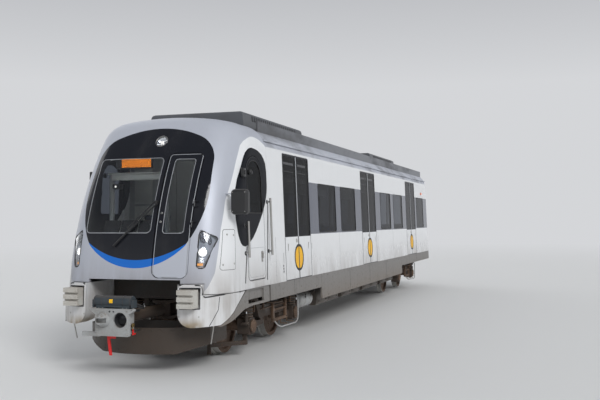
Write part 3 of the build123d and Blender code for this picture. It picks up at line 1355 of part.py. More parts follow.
def side_beam():
    """Cranked side beam of a bogie frame, at the left."""
    low_end, high_end = up(FRAME_END_H[0]), up(FRAME_END_H[1])
    low, high = up(FRAME_BELLY_H[0]), up(FRAME_BELLY_H[1])
    end = FRAME_HALF_LENGTH
    inner = FRAME_END_INNER
    belly = FRAME_BELLY_HALF
    points = [
        (-end, low_end), (-end, high_end), (-inner, high_end), (-belly, high), (belly, high), (inner, high_end),
        (end, high_end), (end, low_end), (inner + 40.0, low_end), (belly + 40.0, low), (-belly - 40.0, low),
        (-inner - 40.0, low_end)]
    face = polygon(points)
    bends = [v for v in face.vertices() if abs(v.X) < end - 1.0]
    face = fillet(bends, FRAME_BEND_RADIUS)
    return side_prism(face, FRAME_CENTRE_Y - FRAME_BEAM / 2, FRAME_CENTRE_Y + FRAME_BEAM / 2)


def bogie_frame():
    """H frame: two side beams, two cross tubes and the pivot boss."""
    beam = side_beam()
    frame = beam + other_side(beam)
    for x in (-TRANSOM_X, TRANSOM_X):
        frame = frame + rod_y(x, up(TRANSOM_H), TRANSOM_RADIUS, -FRAME_CENTRE_Y, FRAME_CENTRE_Y)
    boss = block(-BOSS_HALF_X, BOSS_HALF_X, -BOSS_HALF_Y, BOSS_HALF_Y, up(BOSS_H[0]), up(BOSS_H[1]))
    bore = rod_z(0, 0, PIVOT_RADIUS + PIN_CLEARANCE, up(BOSS_H[0]) - 50.0, up(BOSS_H[1]) + 50.0)
    return (frame + boss) - bore


def axlebox(end):
    """Axlebox with its guide arm, at the left, at the front or the rear axle."""
    x = end * WHEELBASE / 2
    half = AXLEBOX_SIZE / 2
    low_y = FRAME_CENTRE_Y - AXLEBOX_WIDTH / 2
    high_y = FRAME_CENTRE_Y + AXLEBOX_WIDTH / 2
    body = block(x - half, x + half, low_y, high_y, AXLE_Z - half, AXLE_Z + half)
    body = fillet(body.edges().filter_by(Axis.Y), 45.0)
    body = body + rod_y(x, AXLE_Z, AXLEBOX_CAP_RADIUS, high_y, high_y + AXLEBOX_CAP_THICK)
    seat_z = up(FRAME_BELLY_H[0])
    near, far = end * ARM_SEAT_BACK[0], end * ARM_SEAT_BACK[1]
    inner_x = x - end * half
    points = [(inner_x + end * 20.0, AXLE_Z - 70.0), (inner_x + end * 20.0, AXLE_Z + 60.0), (far, seat_z - 45.0),
              (far, seat_z), (near, seat_z), (near, seat_z - 110.0)]
    arm = side_prism(polygon(points), FRAME_CENTRE_Y - ARM_THICK / 2, FRAME_CENTRE_Y + ARM_THICK / 2)
    body = body + arm
    bore = rod_y(x, AXLE_Z, JOURNAL_RADIUS + JOURNAL_CLEARANCE, low_y - 5.0, high_y - 20.0)
    return body - bore


def coil_spring(end):
    """Primary spring between axlebox and frame, at the left, as a stack of turns."""
    low = AXLE_Z + AXLEBOX_SIZE / 2
    high = up(FRAME_END_H[0])
    pitch = (high - low) / SPRING_COILS
    points = [(0, low)]
    for i in range(SPRING_COILS):
        z = low + i * pitch
        points.extend([(SPRING_WAIST, z), (SPRING_RADIUS, z + 0.3 * pitch), (SPRING_RADIUS, z + 0.7 * pitch)])
    points.extend([(SPRING_WAIST, high), (0, high)])
    spring = revolve(Plane.XZ * polygon(points), Axis.Z, 360)
    return Pos(end * WHEELBASE / 2, FRAME_CENTRE_Y, 0) * spring


def air_spring():
    """Secondary air spring on the left beam, under the car floor."""
    low = up(FRAME_BELLY_H[1])
    high = UNDER_Z - RUNNING_GAP
    waist_z = (low + high) / 2 + 20.0
    points = [
        (0, low), (AIR_PAN_RADIUS, low), (AIR_PAN_RADIUS, low + AIR_PAN_THICK), (AIR_SPRING_WAIST, low + AIR_PAN_THICK),
        (AIR_SPRING_WAIST, waist_z - 60.0), (AIR_SPRING_RADIUS, waist_z - 20.0), (AIR_SPRING_RADIUS, waist_z + 50.0),
        (AIR_PAN_RADIUS, high - AIR_PAN_THICK), (AIR_PAN_RADIUS, high), (0, high)]
    return Pos(0, FRAME_CENTRE_Y, 0) * revolve(Plane.XZ * polygon(points), Axis.Z, 360)


def traction_motor(end):
    """Traction motor across the bogie with its gearcase round the axle."""
    x = end * MOTOR_X
    axle_x = end * WHEELBASE / 2
    z = up(MOTOR_H)
    body = rod_y(x, z, MOTOR_RADIUS, -MOTOR_HALF, MOTOR_HALF)
    small = Pos(x, z) * Circle(0.75 * MOTOR_RADIUS)
    large = Pos(axle_x, AXLE_Z) * Circle(GEAR_RADIUS)
    gearcase = side_prism(make_hull(small.edges() + large.edges()), *GEAR_Y)
    motor = body + gearcase + rod_y(x, z, 0.75 * MOTOR_RADIUS, MOTOR_HALF - 10.0, GEAR_Y[0] + 10.0)
    foot = block(end * BOSS_HALF_X, x, -0.7 * MOTOR_HALF, 0.7 * MOTOR_HALF, up(BOSS_H[0]) + 10.0,
                 up(BOSS_H[1]) - 30.0)
    motor = motor + foot
    return motor - rod_y(axle_x, AXLE_Z, AXLE_RADIUS + GEAR_CLEARANCE, GEAR_Y[0] - 10.0, GEAR_Y[1] + 10.0)


def lifeguard():
    """Rail guard hung from the leading axlebox, at the left, passing in front of the wheel."""
    axle_x = WHEELBASE / 2
    box_bottom = AXLE_Z - AXLEBOX_SIZE / 2
    near_x = axle_x + AXLEBOX_SIZE / 2 - 50.0
    far_x = axle_x + GUARD_AHEAD
    rail_y = GAUGE / 2 + 30.0
    low = up(GUARD_BAR_H)
    hanger = block(near_x - GUARD_BAR, near_x, FRAME_CENTRE_Y - GUARD_BAR / 2, FRAME_CENTRE_Y + GUARD_BAR / 2,
                   low, box_bottom + 1.0)
    outline = polygon([
        (near_x - GUARD_BAR, FRAME_CENTRE_Y + GUARD_BAR / 2), (near_x, FRAME_CENTRE_Y + GUARD_BAR / 2),
        (far_x, rail_y + GUARD_BAR / 2), (far_x, rail_y - GUARD_BAR / 2), (far_x - GUARD_THICK, rail_y - GUARD_BAR / 2),
        (far_x - GUARD_BAR, rail_y + GUARD_BAR / 2), (near_x - GUARD_BAR, FRAME_CENTRE_Y - GUARD_BAR / 2)])
    cross = top_prism(outline, low, low + GUARD_BAR)
    drop = block(far_x - GUARD_THICK, far_x, rail_y - GUARD_BAR / 2, rail_y + GUARD_BAR / 2,
                 up(GUARD_BOTTOM_H), low + GUARD_BAR)
    return hanger + cross + drop


def make_bogies():
    """Both bogies with their wheelsets, placed along the car."""
    number = 1
    for name, x in (("front", FRONT_BOGIE_X), ("rear", REAR_BOGIE_X)):
        place = Pos(x, 0, 0)
        put(name + "_bogie_frame", place * bogie_frame())
        boxes = []
        springs = []
        motors = []
        for end in (1, -1):
            box = axlebox(end)
            if name == "front" and end == 1:
                box = box + lifeguard()
            spring = coil_spring(end)
            boxes.extend([place * box, place * other_side(box)])
            springs.extend([place * spring, place * other_side(spring)])
            motors.append(place * traction_motor(end))
            put("wheelset_" + str(number), wheelset(x + end * WHEELBASE / 2))
            number += 1
        put(name + "_axleboxes", *boxes)
        put(name + "_primary_springs", *springs)
        put(name + "_traction_motors", *motors)
        air = air_spring()
        put(name + "_air_springs", place * air, place * other_side(air))


make_cab()
make_display()
make_wiper()
make_rails()
make_mirror()
make_bumper()
make_anti_climbers()
make_headstock()
make_plough()
make_coupler()
make_floor()
make_skirts()
make_cases()
make_sides()
make_roof()
make_end()
make_bulkhead()
make_saloon()
make_driver_place()
make_bogies()

os.makedirs("parts", exist_ok=True)
for node_name, solids in nodes.items():
    shape = solids[0] if len(solids) == 1 else Compound(solids)
    export_step(shape, "parts/" + node_name + ".step")
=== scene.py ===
import bpy
import bmesh
import math
from mathutils import Matrix, Vector
from mathutils.bvhtree import BVHTree


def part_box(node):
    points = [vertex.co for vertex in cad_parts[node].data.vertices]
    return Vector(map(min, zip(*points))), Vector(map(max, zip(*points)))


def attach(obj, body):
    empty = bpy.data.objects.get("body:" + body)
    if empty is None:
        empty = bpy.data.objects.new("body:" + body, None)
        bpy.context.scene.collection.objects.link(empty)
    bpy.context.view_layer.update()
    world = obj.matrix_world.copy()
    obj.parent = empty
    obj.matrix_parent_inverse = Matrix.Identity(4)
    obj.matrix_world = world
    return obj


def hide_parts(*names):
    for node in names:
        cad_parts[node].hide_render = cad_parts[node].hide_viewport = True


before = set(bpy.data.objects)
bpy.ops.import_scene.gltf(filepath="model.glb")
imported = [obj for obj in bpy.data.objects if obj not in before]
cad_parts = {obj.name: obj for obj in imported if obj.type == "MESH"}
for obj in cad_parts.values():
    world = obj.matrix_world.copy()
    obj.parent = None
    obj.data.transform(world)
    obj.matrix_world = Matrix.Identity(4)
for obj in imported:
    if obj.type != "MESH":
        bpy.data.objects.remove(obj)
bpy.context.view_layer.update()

# Metres. +X points forward, +Y to the car's left and +Z up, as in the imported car.
# Sizes of the car that the details follow
HALF_W = 1.275
REAR_X = -8.500
FLOOR_Z = 1.078
DOOR_XS = [4.830, -0.420, -5.670]
DOOR_HALF = 0.690
BAND_Z = (1.818, 2.743)
DOOR_GLASS_Z = 1.788
CANTRAIL_Z = 3.205
FRONT_BOGIE_X = 5.420
REAR_BOGIE_X = -5.880
WHEELBASE = 2.050
AXLE_Z = 0.453
BEAM_Y = 0.930

# Camera at the photograph's place, found from the car's straight edges
CAMERA_PLACE = Vector((18.288, 5.681, 2.050))
CAMERA_YAW = 0.3161
CAMERA_PITCH = 0.0254
CAMERA_ROLL = -0.0050
CAMERA_LENS = 49.78
SENSOR_WIDTH = 36.0


# Camera, floor and light

def make_camera():
    """Camera from its place and its three angles, with plain colours."""
    forward = Vector((-math.cos(CAMERA_YAW) * math.cos(CAMERA_PITCH),
                      -math.sin(CAMERA_YAW) * math.cos(CAMERA_PITCH), math.sin(CAMERA_PITCH)))
    level = forward.cross(Vector((0, 0, 1))).normalized()
    rise = level.cross(forward)
    right = level * math.cos(CAMERA_ROLL) + rise * math.sin(CAMERA_ROLL)
    up = rise * math.cos(CAMERA_ROLL) - level * math.sin(CAMERA_ROLL)
    data = bpy.data.cameras.new("camera")
    data.sensor_fit = "HORIZONTAL"
    data.sensor_width = SENSOR_WIDTH
    data.lens = CAMERA_LENS
    data.clip_end = 400.0
    camera = bpy.data.objects.new("camera", data)
    turn = Matrix((right, up, -forward)).transposed().to_4x4()
    camera.matrix_world = Matrix.Translation(CAMERA_PLACE) @ turn
    bpy.context.scene.collection.objects.link(camera)
    bpy.context.scene.camera = camera
    bpy.context.scene.view_settings.view_transform = "Standard"


HORIZON = (0.66, 0.67, 0.69)
ZENITH = (0.20, 0.21, 0.24)
# Upward parts of a direction between which the background turns from horizon to zenith
SKY_RISE = (0.16, 0.50)
SKY_COLOR = (0.92, 0.95, 1.0)
SKY_LIGHT = 0.52
FLOOR_HALF = 150.0
FLOOR_COLOR = (0.72, 0.72, 0.71)
# Distances from the middle between which the floor fades into the background
FLOOR_FADE = (14.0, 60.0)
# Name, direction of travel, strength and angular size of each lamp
LAMPS = [
    ("key", (-0.55, -0.62, -0.56), 1.7, 25.0),
    ("fill", (0.5, 0.75, -0.45), 0.5, 50.0),
]


def make_world():
    """Even sky as a light, and a pale background for the camera, for mirrors and through glass."""
    world = bpy.data.worlds.new("studio")
    bpy.context.scene.world = world
    world.use_nodes = True
    nodes, links = world.node_tree.nodes, world.node_tree.links
    background = nodes["Background"]
    path = nodes.new("ShaderNodeLightPath")
    seen = path.outputs["Is Camera Ray"]
    for ray in ("Is Transmission Ray", "Is Glossy Ray"):
        either = nodes.new("ShaderNodeMath")
        either.operation = "MAXIMUM"
        links.new(seen, either.inputs[0])
        links.new(path.outputs[ray], either.inputs[1])
        seen = either.outputs[0]
    strength = nodes.new("ShaderNodeMapRange")
    strength.inputs["To Min"].default_value = SKY_LIGHT
    strength.inputs["To Max"].default_value = 1.0
    links.new(seen, strength.inputs["Value"])
    links.new(strength.outputs[0], background.inputs["Strength"])
    direction = nodes.new("ShaderNodeTexCoord")
    split = nodes.new("ShaderNodeSeparateXYZ")
    links.new(direction.outputs["Generated"], split.inputs[0])
    rise = nodes.new("ShaderNodeMapRange")
    rise.inputs["From Min"].default_value, rise.inputs["From Max"].default_value = SKY_RISE
    links.new(split.outputs["Z"], rise.inputs["Value"])
    shade = nodes.new("ShaderNodeMix")
    light = nodes.new("ShaderNodeMix")
    shade.data_type = light.data_type = "RGBA"
    shade.inputs[6].default_value = (*HORIZON, 1.0)
    shade.inputs[7].default_value = (*ZENITH, 1.0)
    light.inputs[6].default_value = (*SKY_COLOR, 1.0)
    links.new(rise.outputs[0], shade.inputs[0])
    links.new(seen, light.inputs[0])
    links.new(shade.outputs[2], light.inputs[7])
    links.new(light.outputs[2], background.inputs["Color"])


def make_floor():
    """Pale floor that fades into the background with distance."""
    mesh = bpy.data.meshes.new("floor")
    corners = [(a * FLOOR_HALF, b * FLOOR_HALF, 0) for a, b in ((-1, -1), (1, -1), (1, 1), (-1, 1))]
    mesh.from_pydata(corners, [], [(0, 1, 2, 3)])
    floor = bpy.data.objects.new("floor", mesh)
    bpy.context.scene.collection.objects.link(floor)
    finish = Finish("floor", rough=0.75)
    finish.color(FLOOR_COLOR)
    reach = finish.nodes.new("ShaderNodeVectorMath")
    reach.operation = "LENGTH"
    finish.links.new(finish.place, reach.inputs[0])
    glow = finish.nodes.new("ShaderNodeEmission")
    glow.inputs["Color"].default_value = (*HORIZON, 1.0)
    blend = finish.nodes.new("ShaderNodeMixShader")
    finish.links.new(finish.step(reach.outputs["Value"], *FLOOR_FADE), blend.inputs[0])
    finish.links.new(finish.shader.outputs[0], blend.inputs[1])
    finish.links.new(glow.outputs[0], blend.inputs[2])
    finish.links.new(blend.outputs[0], finish.nodes["Material Output"].inputs["Surface"])
    mesh.materials.append(finish.material)


def make_lamps():
    """Soft suns."""
    for name, toward, power, spread in LAMPS:
        data = bpy.data.lights.new(name, "SUN")
        data.energy = power
        data.angle = math.radians(spread)
        lamp = bpy.data.objects.new(name, data)
        lamp.rotation_euler = Vector(toward).to_track_quat("-Z", "Y").to_euler()
        bpy.context.scene.collection.objects.link(lamp)


# Node trees

class Finish:
    """Node tree of one material, with short calls for what repeats."""

    def __init__(self, name, rough=0.5, metal=0.0, coat=0.0, specular=0.5):
        self.material = bpy.data.materials.new(name)
        self.material.use_nodes = True
        self.nodes = self.material.node_tree.nodes
        self.links = self.material.node_tree.links
        self.shader = self.nodes["Principled BSDF"]
        self.shader.inputs["Metallic"].default_value = metal
        self.shader.inputs["Roughness"].default_value = rough
        self.shader.inputs["Coat Weight"].default_value = coat
        self.shader.inputs["Coat Roughness"].default_value = 0.05
        self.shader.inputs["Specular IOR Level"].default_value = specular
        self.place = self.nodes.new("ShaderNodeTexCoord").outputs["Object"]
        split = self.nodes.new("ShaderNodeSeparateXYZ")
        self.links.new(self.place, split.inputs[0])
        self.x, self.y, self.z = split.outputs

    def feed(self, socket, value):
        if isinstance(value, bpy.types.NodeSocket):
            self.links.new(value, socket)
        elif isinstance(value, tuple) and len(value) == 3 and socket.type == "RGBA":
            socket.default_value = (*value, 1.0)
        else:
            socket.default_value = value

    def math(self, operation, *values):
        node = self.nodes.new("ShaderNodeMath")
        node.operation = operation
        for socket, value in zip(node.inputs, values):
            self.feed(socket, value)
        return node.outputs[0]

    def times(self, first, second):
        return self.math("MULTIPLY", first, second)

    def plus(self, first, second):
        return self.math("ADD", first, second)

    def minus(self, first, second):
        return self.math("SUBTRACT", first, second)

    def noise(self, scale, detail=3.0, stretch=(1.0, 1.0, 1.0), rough=0.55):
        """Noise value about 0.5, whose grain is stretched along the axes with small numbers."""
        node = self.nodes.new("ShaderNodeTexNoise")
        node.inputs["Scale"].default_value = scale
        node.inputs["Detail"].default_value = detail
        node.inputs["Roughness"].default_value = rough
        spot = self.place
        if stretch != (1.0, 1.0, 1.0):
            pull = self.nodes.new("ShaderNodeVectorMath")
            pull.operation = "MULTIPLY"
            self.links.new(self.place, pull.inputs[0])
            pull.inputs[1].default_value = stretch
            spot = pull.outputs[0]
        self.links.new(spot, node.inputs["Vector"])
        return node.outputs["Fac"]

    def cells(self, scale):
        """Distance to the nearest of scattered points."""
        node = self.nodes.new("ShaderNodeTexVoronoi")
        node.inputs["Scale"].default_value = scale
        self.links.new(self.place, node.inputs["Vector"])
        return node.outputs["Distance"]

    def step(self, value, low, high):
        """0 below low and 1 above high, smooth between, also with low above high."""
        node = self.nodes.new("ShaderNodeMapRange")
        node.interpolation_type = "SMOOTHSTEP"
        self.feed(node.inputs["Value"], value)
        node.inputs["From Min"].default_value = low
        node.inputs["From Max"].default_value = high
        return node.outputs[0]

    def over(self, value, level, soft=0.002):
        """0 below a level and 1 above it."""
        return self.step(value, level - soft, level + soft)

    def under(self, value, level, soft=0.002):
        """1 below a level and 0 above it."""
        return self.step(value, level + soft, level - soft)

    def between(self, value, low, high):
        """1 between two values."""
        return self.times(self.over(value, low), self.under(value, high))

    def both(self, *masks):
        result = masks[0]
        for mask in masks[1:]:
            result = self.times(result, mask)
        return result

    def either(self, *masks):
        result = masks[0]
        for mask in masks[1:]:
            result = self.math("MAXIMUM", result, mask)
        return result

    def mix(self, factor, first, second):
        node = self.nodes.new("ShaderNodeMix")
        node.data_type = "RGBA"
        self.feed(node.inputs[0], factor)
        self.feed(node.inputs[6], first)
        self.feed(node.inputs[7], second)
        return node.outputs[2]

    def curve(self, value, points):
        """Height of a broken line over its first coordinate."""
        low, high = points[0][0], points[-1][0]
        least = min(p[1] for p in points)
        most = max(p[1] for p in points)
        share = self.math("DIVIDE", self.minus(value, low), high - low)
        node = self.nodes.new("ShaderNodeFloatCurve")
        line = node.mapping.curves[0]
        for i, (a, b) in enumerate(points):
            spot = ((a - low) / (high - low), (b - least) / (most - least))
            if i == 0:
                line.points[0].location = spot
            elif i == len(points) - 1:
                line.points[len(line.points) - 1].location = spot
            else:
                line.points.new(*spot)
        for point in line.points:
            point.handle_type = "VECTOR"
        node.mapping.update()
        self.feed(node.inputs["Value"], share)
        return self.plus(self.times(node.outputs[0], most - least), least)

    def up_facing(self):
        """How far a surface faces up, from 0 to 1."""
        facing = self.nodes.new("ShaderNodeNewGeometry")
        split = self.nodes.new("ShaderNodeSeparateXYZ")
        self.links.new(facing.outputs["Normal"], split.inputs[0])
        return self.step(split.outputs["Z"], 0.35, 0.95)

    def edges(self, radius):
        """1 near sharp edges, from the difference between the true and a rounded normal."""
        rounded = self.nodes.new("ShaderNodeBevel")
        rounded.samples = 4
        rounded.inputs["Radius"].default_value = radius
        facing = self.nodes.new("ShaderNodeNewGeometry")
        dot = self.nodes.new("ShaderNodeVectorMath")
        dot.operation = "DOT_PRODUCT"
        self.links.new(rounded.outputs[0], dot.inputs[0])
        self.links.new(facing.outputs["Normal"], dot.inputs[1])
        return self.step(dot.outputs["Value"], 0.97, 0.85)

    def bump(self, *layers):
        """Bump from pairs of height value and depth in metres."""
        last = None
        for height, depth in layers:
            node = self.nodes.new("ShaderNodeBump")
            node.inputs["Strength"].default_value = 1.0
            node.inputs["Distance"].default_value = depth
            self.feed(node.inputs["Height"], height)
            if last is not None:
                self.links.new(last, node.inputs["Normal"])
            last = node.outputs[0]
        self.links.new(last, self.shader.inputs["Normal"])

    def color(self, value):
        self.feed(self.shader.inputs["Base Color"], value)

    def rough(self, value):
        self.feed(self.shader.inputs["Roughness"], value)

    def metal(self, value):
        self.feed(self.shader.inputs["Metallic"], value)


# Colours, linear
WHITE = (0.77, 0.78, 0.79)
SILVER = (0.47, 0.49, 0.545)
BLACK = (0.010, 0.011, 0.015)
BAND_BLUE = (0.030, 0.040, 0.075)
CREST_BLUE = (0.004, 0.140, 0.560)
ROAD_BROWN = (0.165, 0.120, 0.080)
BRAKE_BROWN = (0.085, 0.052, 0.034)
RUST = (0.210, 0.085, 0.035)

# Where the white of the cab side ends, as height over distance along the car
WHITE_EDGE = [(6.29, 3.215), (6.40, 3.262), (6.487, 3.292), (6.60, 3.312), (6.72, 3.318), (6.84, 3.306),
              (6.96, 3.276), (7.087, 3.220), (7.18, 3.149), (7.341, 2.917), (7.521, 2.625), (7.698, 2.347),
              (7.858, 1.946), (7.97, 1.560), (8.022, 1.362), (8.106, 1.180), (8.32, 0.80)]
# Front and rear edges of the black drop round the cab's side window, as distance along the car over height
DROP_FRONT = [(1.690, 7.27), (1.705, 7.36), (1.74, 7.42), (1.785, 7.463), (1.85, 7.505), (1.916, 7.534),
              (2.065, 7.563), (2.25, 7.562), (2.45, 7.515), (2.65, 7.412), (2.809, 7.293), (2.97, 7.177),
              (3.05, 7.105), (3.10, 7.03), (3.128, 6.96), (3.139, 6.87)]
DROP_REAR = [(1.690, 7.27), (1.700, 7.20), (1.723, 7.121), (1.819, 6.928), (1.90, 6.815), (1.996, 6.700),
             (2.18, 6.506), (2.322, 6.391), (2.42, 6.335), (2.514, 6.300), (2.64, 6.282), (2.80, 6.286),
             (2.936, 6.321), (3.01, 6.385), (3.067, 6.476), (3.11, 6.61), (3.13, 6.73), (3.139, 6.87)]
# Lowest point and radius of the mask's lower edge and of the crescent's upper edge
MASK_LOW = (1.418, 1.0267)
CREST_TOP = (1.528, 1.344)
# Lower edge of the mask on the front door, as height over distance from the middle
CHEEK = [(0.0, 1.30), (0.70, 1.60), (0.738, 1.732), (0.765, 1.782), (0.79, 1.832), (0.82, 1.90)]


def road_dirt(finish, color, low, high, amount):
    """Brown film that thickens towards the road, with run marks."""
    patches = finish.noise(1.7, 4.0, stretch=(1.0, 1.0, 0.6))
    runs = finish.noise(9.0, 3.0, stretch=(1.0, 1.0, 0.09))
    film = finish.times(finish.step(finish.z, high, low), amount)
    film = finish.times(film, finish.step(finish.plus(patches, finish.times(runs, 0.6)), 0.45, 1.05))
    return finish.mix(film, color, ROAD_BROWN), film


def gloss_paint(finish, color, dark=None, rough=0.20):
    """Body paint with drift, run marks, dirt, soft waves and fine grain, black where the dark value is 1."""
    drift = finish.step(finish.noise(0.9, 3.0), 0.3, 0.7)
    color = finish.mix(finish.times(drift, 0.025), color, (0.55, 0.56, 0.57))
    runs = finish.step(finish.noise(14.0, 3.0, stretch=(1.0, 1.0, 0.05)), 0.52, 0.75)
    color = finish.mix(finish.times(runs, 0.07), color, (0.33, 0.32, 0.31))
    color, film = road_dirt(finish, color, 0.75, 1.75, 0.62)
    if dark:
        color = finish.mix(dark, color, BLACK)
    finish.color(color)
    finish.rough(finish.plus(rough, finish.times(film, 0.5)))
    finish.bump((finish.noise(1.3, 1.0), 0.0030), (finish.noise(260.0, 2.0), 0.00002))


def cab_paint():
    """White side and silver nose, with the black drop round the side window."""
    finish = Finish("cab_paint", specular=0.05)
    silver = finish.over(finish.minus(finish.z, finish.curve(finish.x, WHITE_EDGE)), 0, 0.003)
    finish.metal(finish.times(silver, 0.12))
    front = finish.over(finish.minus(finish.curve(finish.z, DROP_FRONT), finish.x), 0)
    rear = finish.over(finish.minus(finish.x, finish.curve(finish.z, DROP_REAR)), 0)
    drop = finish.both(front, rear, finish.between(finish.z, DROP_FRONT[0][0], DROP_FRONT[-1][0]))
    gloss_paint(finish, finish.mix(silver, WHITE, SILVER), drop, 0.36)
    return finish.material


def side_paint():
    """White side with the dark window band and the silver edge under the roof."""
    finish = Finish("side_paint", coat=0.25)
    band_end = DOOR_XS[0] + DOOR_HALF
    band = finish.times(finish.between(finish.z, *BAND_Z), finish.step(finish.x, band_end + 0.004, band_end))
    color = finish.mix(finish.over(finish.z, CANTRAIL_Z, 0.003), WHITE, SILVER)
    gloss_paint(finish, finish.mix(band, color, BAND_BLUE))
    return finish.material


def leaf_paint():
    """Door leaves: white below, black round the glass."""
    finish = Finish("leaf_paint", specular=0.04)
    gloss_paint(finish, WHITE, finish.over(finish.z, DOOR_GLASS_Z))
    return finish.material


def white_paint():
    """White paint of the bumper and the rear end, with brown stains low on the bumper's corners."""
    finish = Finish("white_paint", coat=0.25)
    blotch = finish.plus(finish.noise(4.0, 4.0), finish.times(finish.noise(18.0, 3.0, (1, 1, 0.2)), 0.4))
    low = finish.both(finish.step(finish.z, 0.80, 0.64), finish.step(blotch, 0.40, 0.85),
                      finish.step(finish.math("ABSOLUTE", finish.y), 1.12, 0.95))
    stain = finish.mix(finish.step(finish.z, 0.70, 0.60), (0.30, 0.22, 0.10), (0.12, 0.085, 0.045))
    gloss_paint(finish, finish.mix(low, WHITE, stain))
    return finish.material


def arc_height(finish, low, radius):
    """Height of an upward arc over the distance from the middle."""
    square = finish.times(finish.y, finish.y)
    inside = finish.math("SQRT", finish.math("MAXIMUM", finish.minus(radius * radius, square), 0.01))
    return finish.plus(finish.minus(radius, inside), low)


def mask_paint(name, below):
    """Gloss black mask with its blue crescent, over another colour outside the mask's lower edge."""
    finish = Finish(name, rough=0.08, coat=0.10, specular=0.35)
    crest = finish.under(finish.minus(finish.z, arc_height(finish, *CREST_TOP)), 0)
    color = finish.mix(crest, BLACK, CREST_BLUE)
    smears = finish.step(finish.noise(3.0, 4.0, stretch=(1.0, 1.0, 0.4)), 0.45, 0.8)
    color = finish.mix(finish.times(smears, 0.03), color, (0.35, 0.33, 0.30))
    rough = finish.plus(0.06, finish.times(smears, 0.08))
    if below:
        across = finish.math("MINIMUM", finish.math("MAXIMUM", finish.y, CHEEK[0][0]), CHEEK[-1][0])
        low = finish.math("MAXIMUM", arc_height(finish, *MASK_LOW), finish.curve(across, CHEEK))
        outside = finish.under(finish.minus(finish.z, low), 0)
        color = finish.mix(outside, color, below)
        rough = finish.plus(rough, finish.times(outside, 0.14))
    finish.color(color)
    finish.rough(rough)
    finish.bump((finish.noise(2.0, 1.0), 0.0012))
    return finish.material


def glass(name, tint, amount=1.0, bend=1.5, film=0.10):
    """Tinted pane with a thin film of dust."""
    finish = Finish(name, rough=0.02)
    finish.shader.inputs["Transmission Weight"].default_value = amount
    finish.shader.inputs["IOR"].default_value = bend
    dust = finish.step(finish.noise(4.0, 5.0, stretch=(1.0, 1.0, 0.5)), 0.5, 0.85)
    finish.color(finish.mix(finish.times(dust, film), tint, (0.42, 0.40, 0.37)))
    finish.rough(finish.plus(0.015, finish.times(dust, 0.06)))
    finish.bump((finish.noise(1.1, 1.0), 0.0015))
    return finish.material


def rubber(name, color=(0.018, 0.018, 0.019), scale=1.0):
    """Black rubber with a grey bloom and fine grain."""
    finish = Finish(name, rough=0.7)
    bloom = finish.step(finish.noise(5.0 * scale, 5.0), 0.4, 0.8)
    color = finish.mix(finish.times(bloom, 0.25), color, (0.12, 0.115, 0.11))
    finish.color(finish.mix(finish.times(finish.up_facing(), 0.3), color, ROAD_BROWN))
    finish.rough(finish.plus(0.55, finish.times(bloom, 0.3)))
    finish.bump((finish.noise(420.0, 3.0), 0.0002), (finish.noise(30.0, 2.0), 0.0006))
    return finish.material


def moulded(name, color, rough=0.45, grain=500.0):
    """Moulded plastic with a leather-like grain, patchy tone and lighter, browner upward faces."""
    finish = Finish(name, rough=rough)
    drift = finish.step(finish.noise(2.5, 4.0), 0.3, 0.75)
    lighter = tuple(min(1.0, c * 1.35 + 0.01) for c in color)
    shade = finish.mix(finish.times(drift, 0.5), color, lighter)
    finish.color(finish.mix(finish.times(finish.up_facing(), 0.12), shade, (0.36, 0.33, 0.29)))
    finish.rough(finish.plus(rough - 0.08, finish.times(drift, 0.16)))
    finish.bump((finish.cells(grain), 0.00015))
    return finish.material


def metal(name, color, rough=0.3, brushed=(1.0, 1.0, 1.0)):
    """Bare metal with brushed grain and light soiling."""
    finish = Finish(name, rough=rough, metal=1.0)
    soil = finish.step(finish.noise(7.0, 5.0), 0.48, 0.8)
    finish.color(finish.mix(finish.times(soil, 0.45), color, tuple(c * 0.45 for c in color)))
    grain = finish.noise(90.0, 4.0, stretch=brushed)
    finish.rough(finish.plus(rough - 0.08, finish.times(grain, 0.22)))
    finish.bump((grain, 0.0001))
    return finish.material


def gear(name, color, dirt=BRAKE_BROWN, amount=0.75, wear=0.5, rough=0.6):
    """Painted steel under the car: dust from above, oily patches, chipped edges and cast grain."""
    finish = Finish(name, rough=rough)
    broad = finish.noise(3.2, 6.0)
    fine = finish.noise(38.0, 5.0)
    cover = finish.step(finish.plus(broad, finish.times(fine, 0.35)), 0.48, 0.86)
    shade = finish.mix(finish.times(cover, amount), color, dirt)
    dusty = finish.times(finish.up_facing(), finish.step(fine, 0.3, 0.7))
    shade = finish.mix(finish.times(dusty, 0.6), shade, ROAD_BROWN)
    rust = finish.step(finish.noise(11.0, 6.0), 0.60, 0.72)
    shade = finish.mix(finish.times(rust, 0.35 * amount), shade, RUST)
    chips = finish.both(finish.edges(0.006), finish.step(fine, 0.42, 0.62))
    shade = finish.mix(finish.times(chips, wear), shade, (0.33, 0.28, 0.23))
    finish.color(shade)
    oil = finish.step(finish.noise(2.1, 3.0), 0.58, 0.72)
    finish.rough(finish.minus(rough + 0.15, finish.times(oil, 0.35)))
    finish.bump((fine, 0.0008), (finish.noise(160.0, 3.0), 0.0003))
    return finish.material


def skirt_paint(name, color, film=0.55):
    """Grey skirt paint with a brown film, splash marks and rain runs."""
    finish = Finish(name, rough=0.55)
    runs = finish.step(finish.noise(11.0, 4.0, stretch=(1.0, 1.0, 0.08)), 0.45, 0.75)
    shade = finish.mix(finish.times(runs, 0.35), color, tuple(c * 0.55 for c in color))
    splash = finish.step(finish.noise(26.0, 5.0), 0.55, 0.72)
    low = finish.step(finish.z, 1.05, 0.45)
    shade = finish.mix(finish.times(low, film), shade, ROAD_BROWN)
    shade = finish.mix(finish.times(splash, 0.25), shade, BRAKE_BROWN)
    finish.color(shade)
    finish.rough(finish.plus(0.5, finish.times(splash, 0.25)))
    finish.bump((finish.noise(1.6, 1.0), 0.003), (finish.noise(90.0, 3.0), 0.0003))
    return finish.material


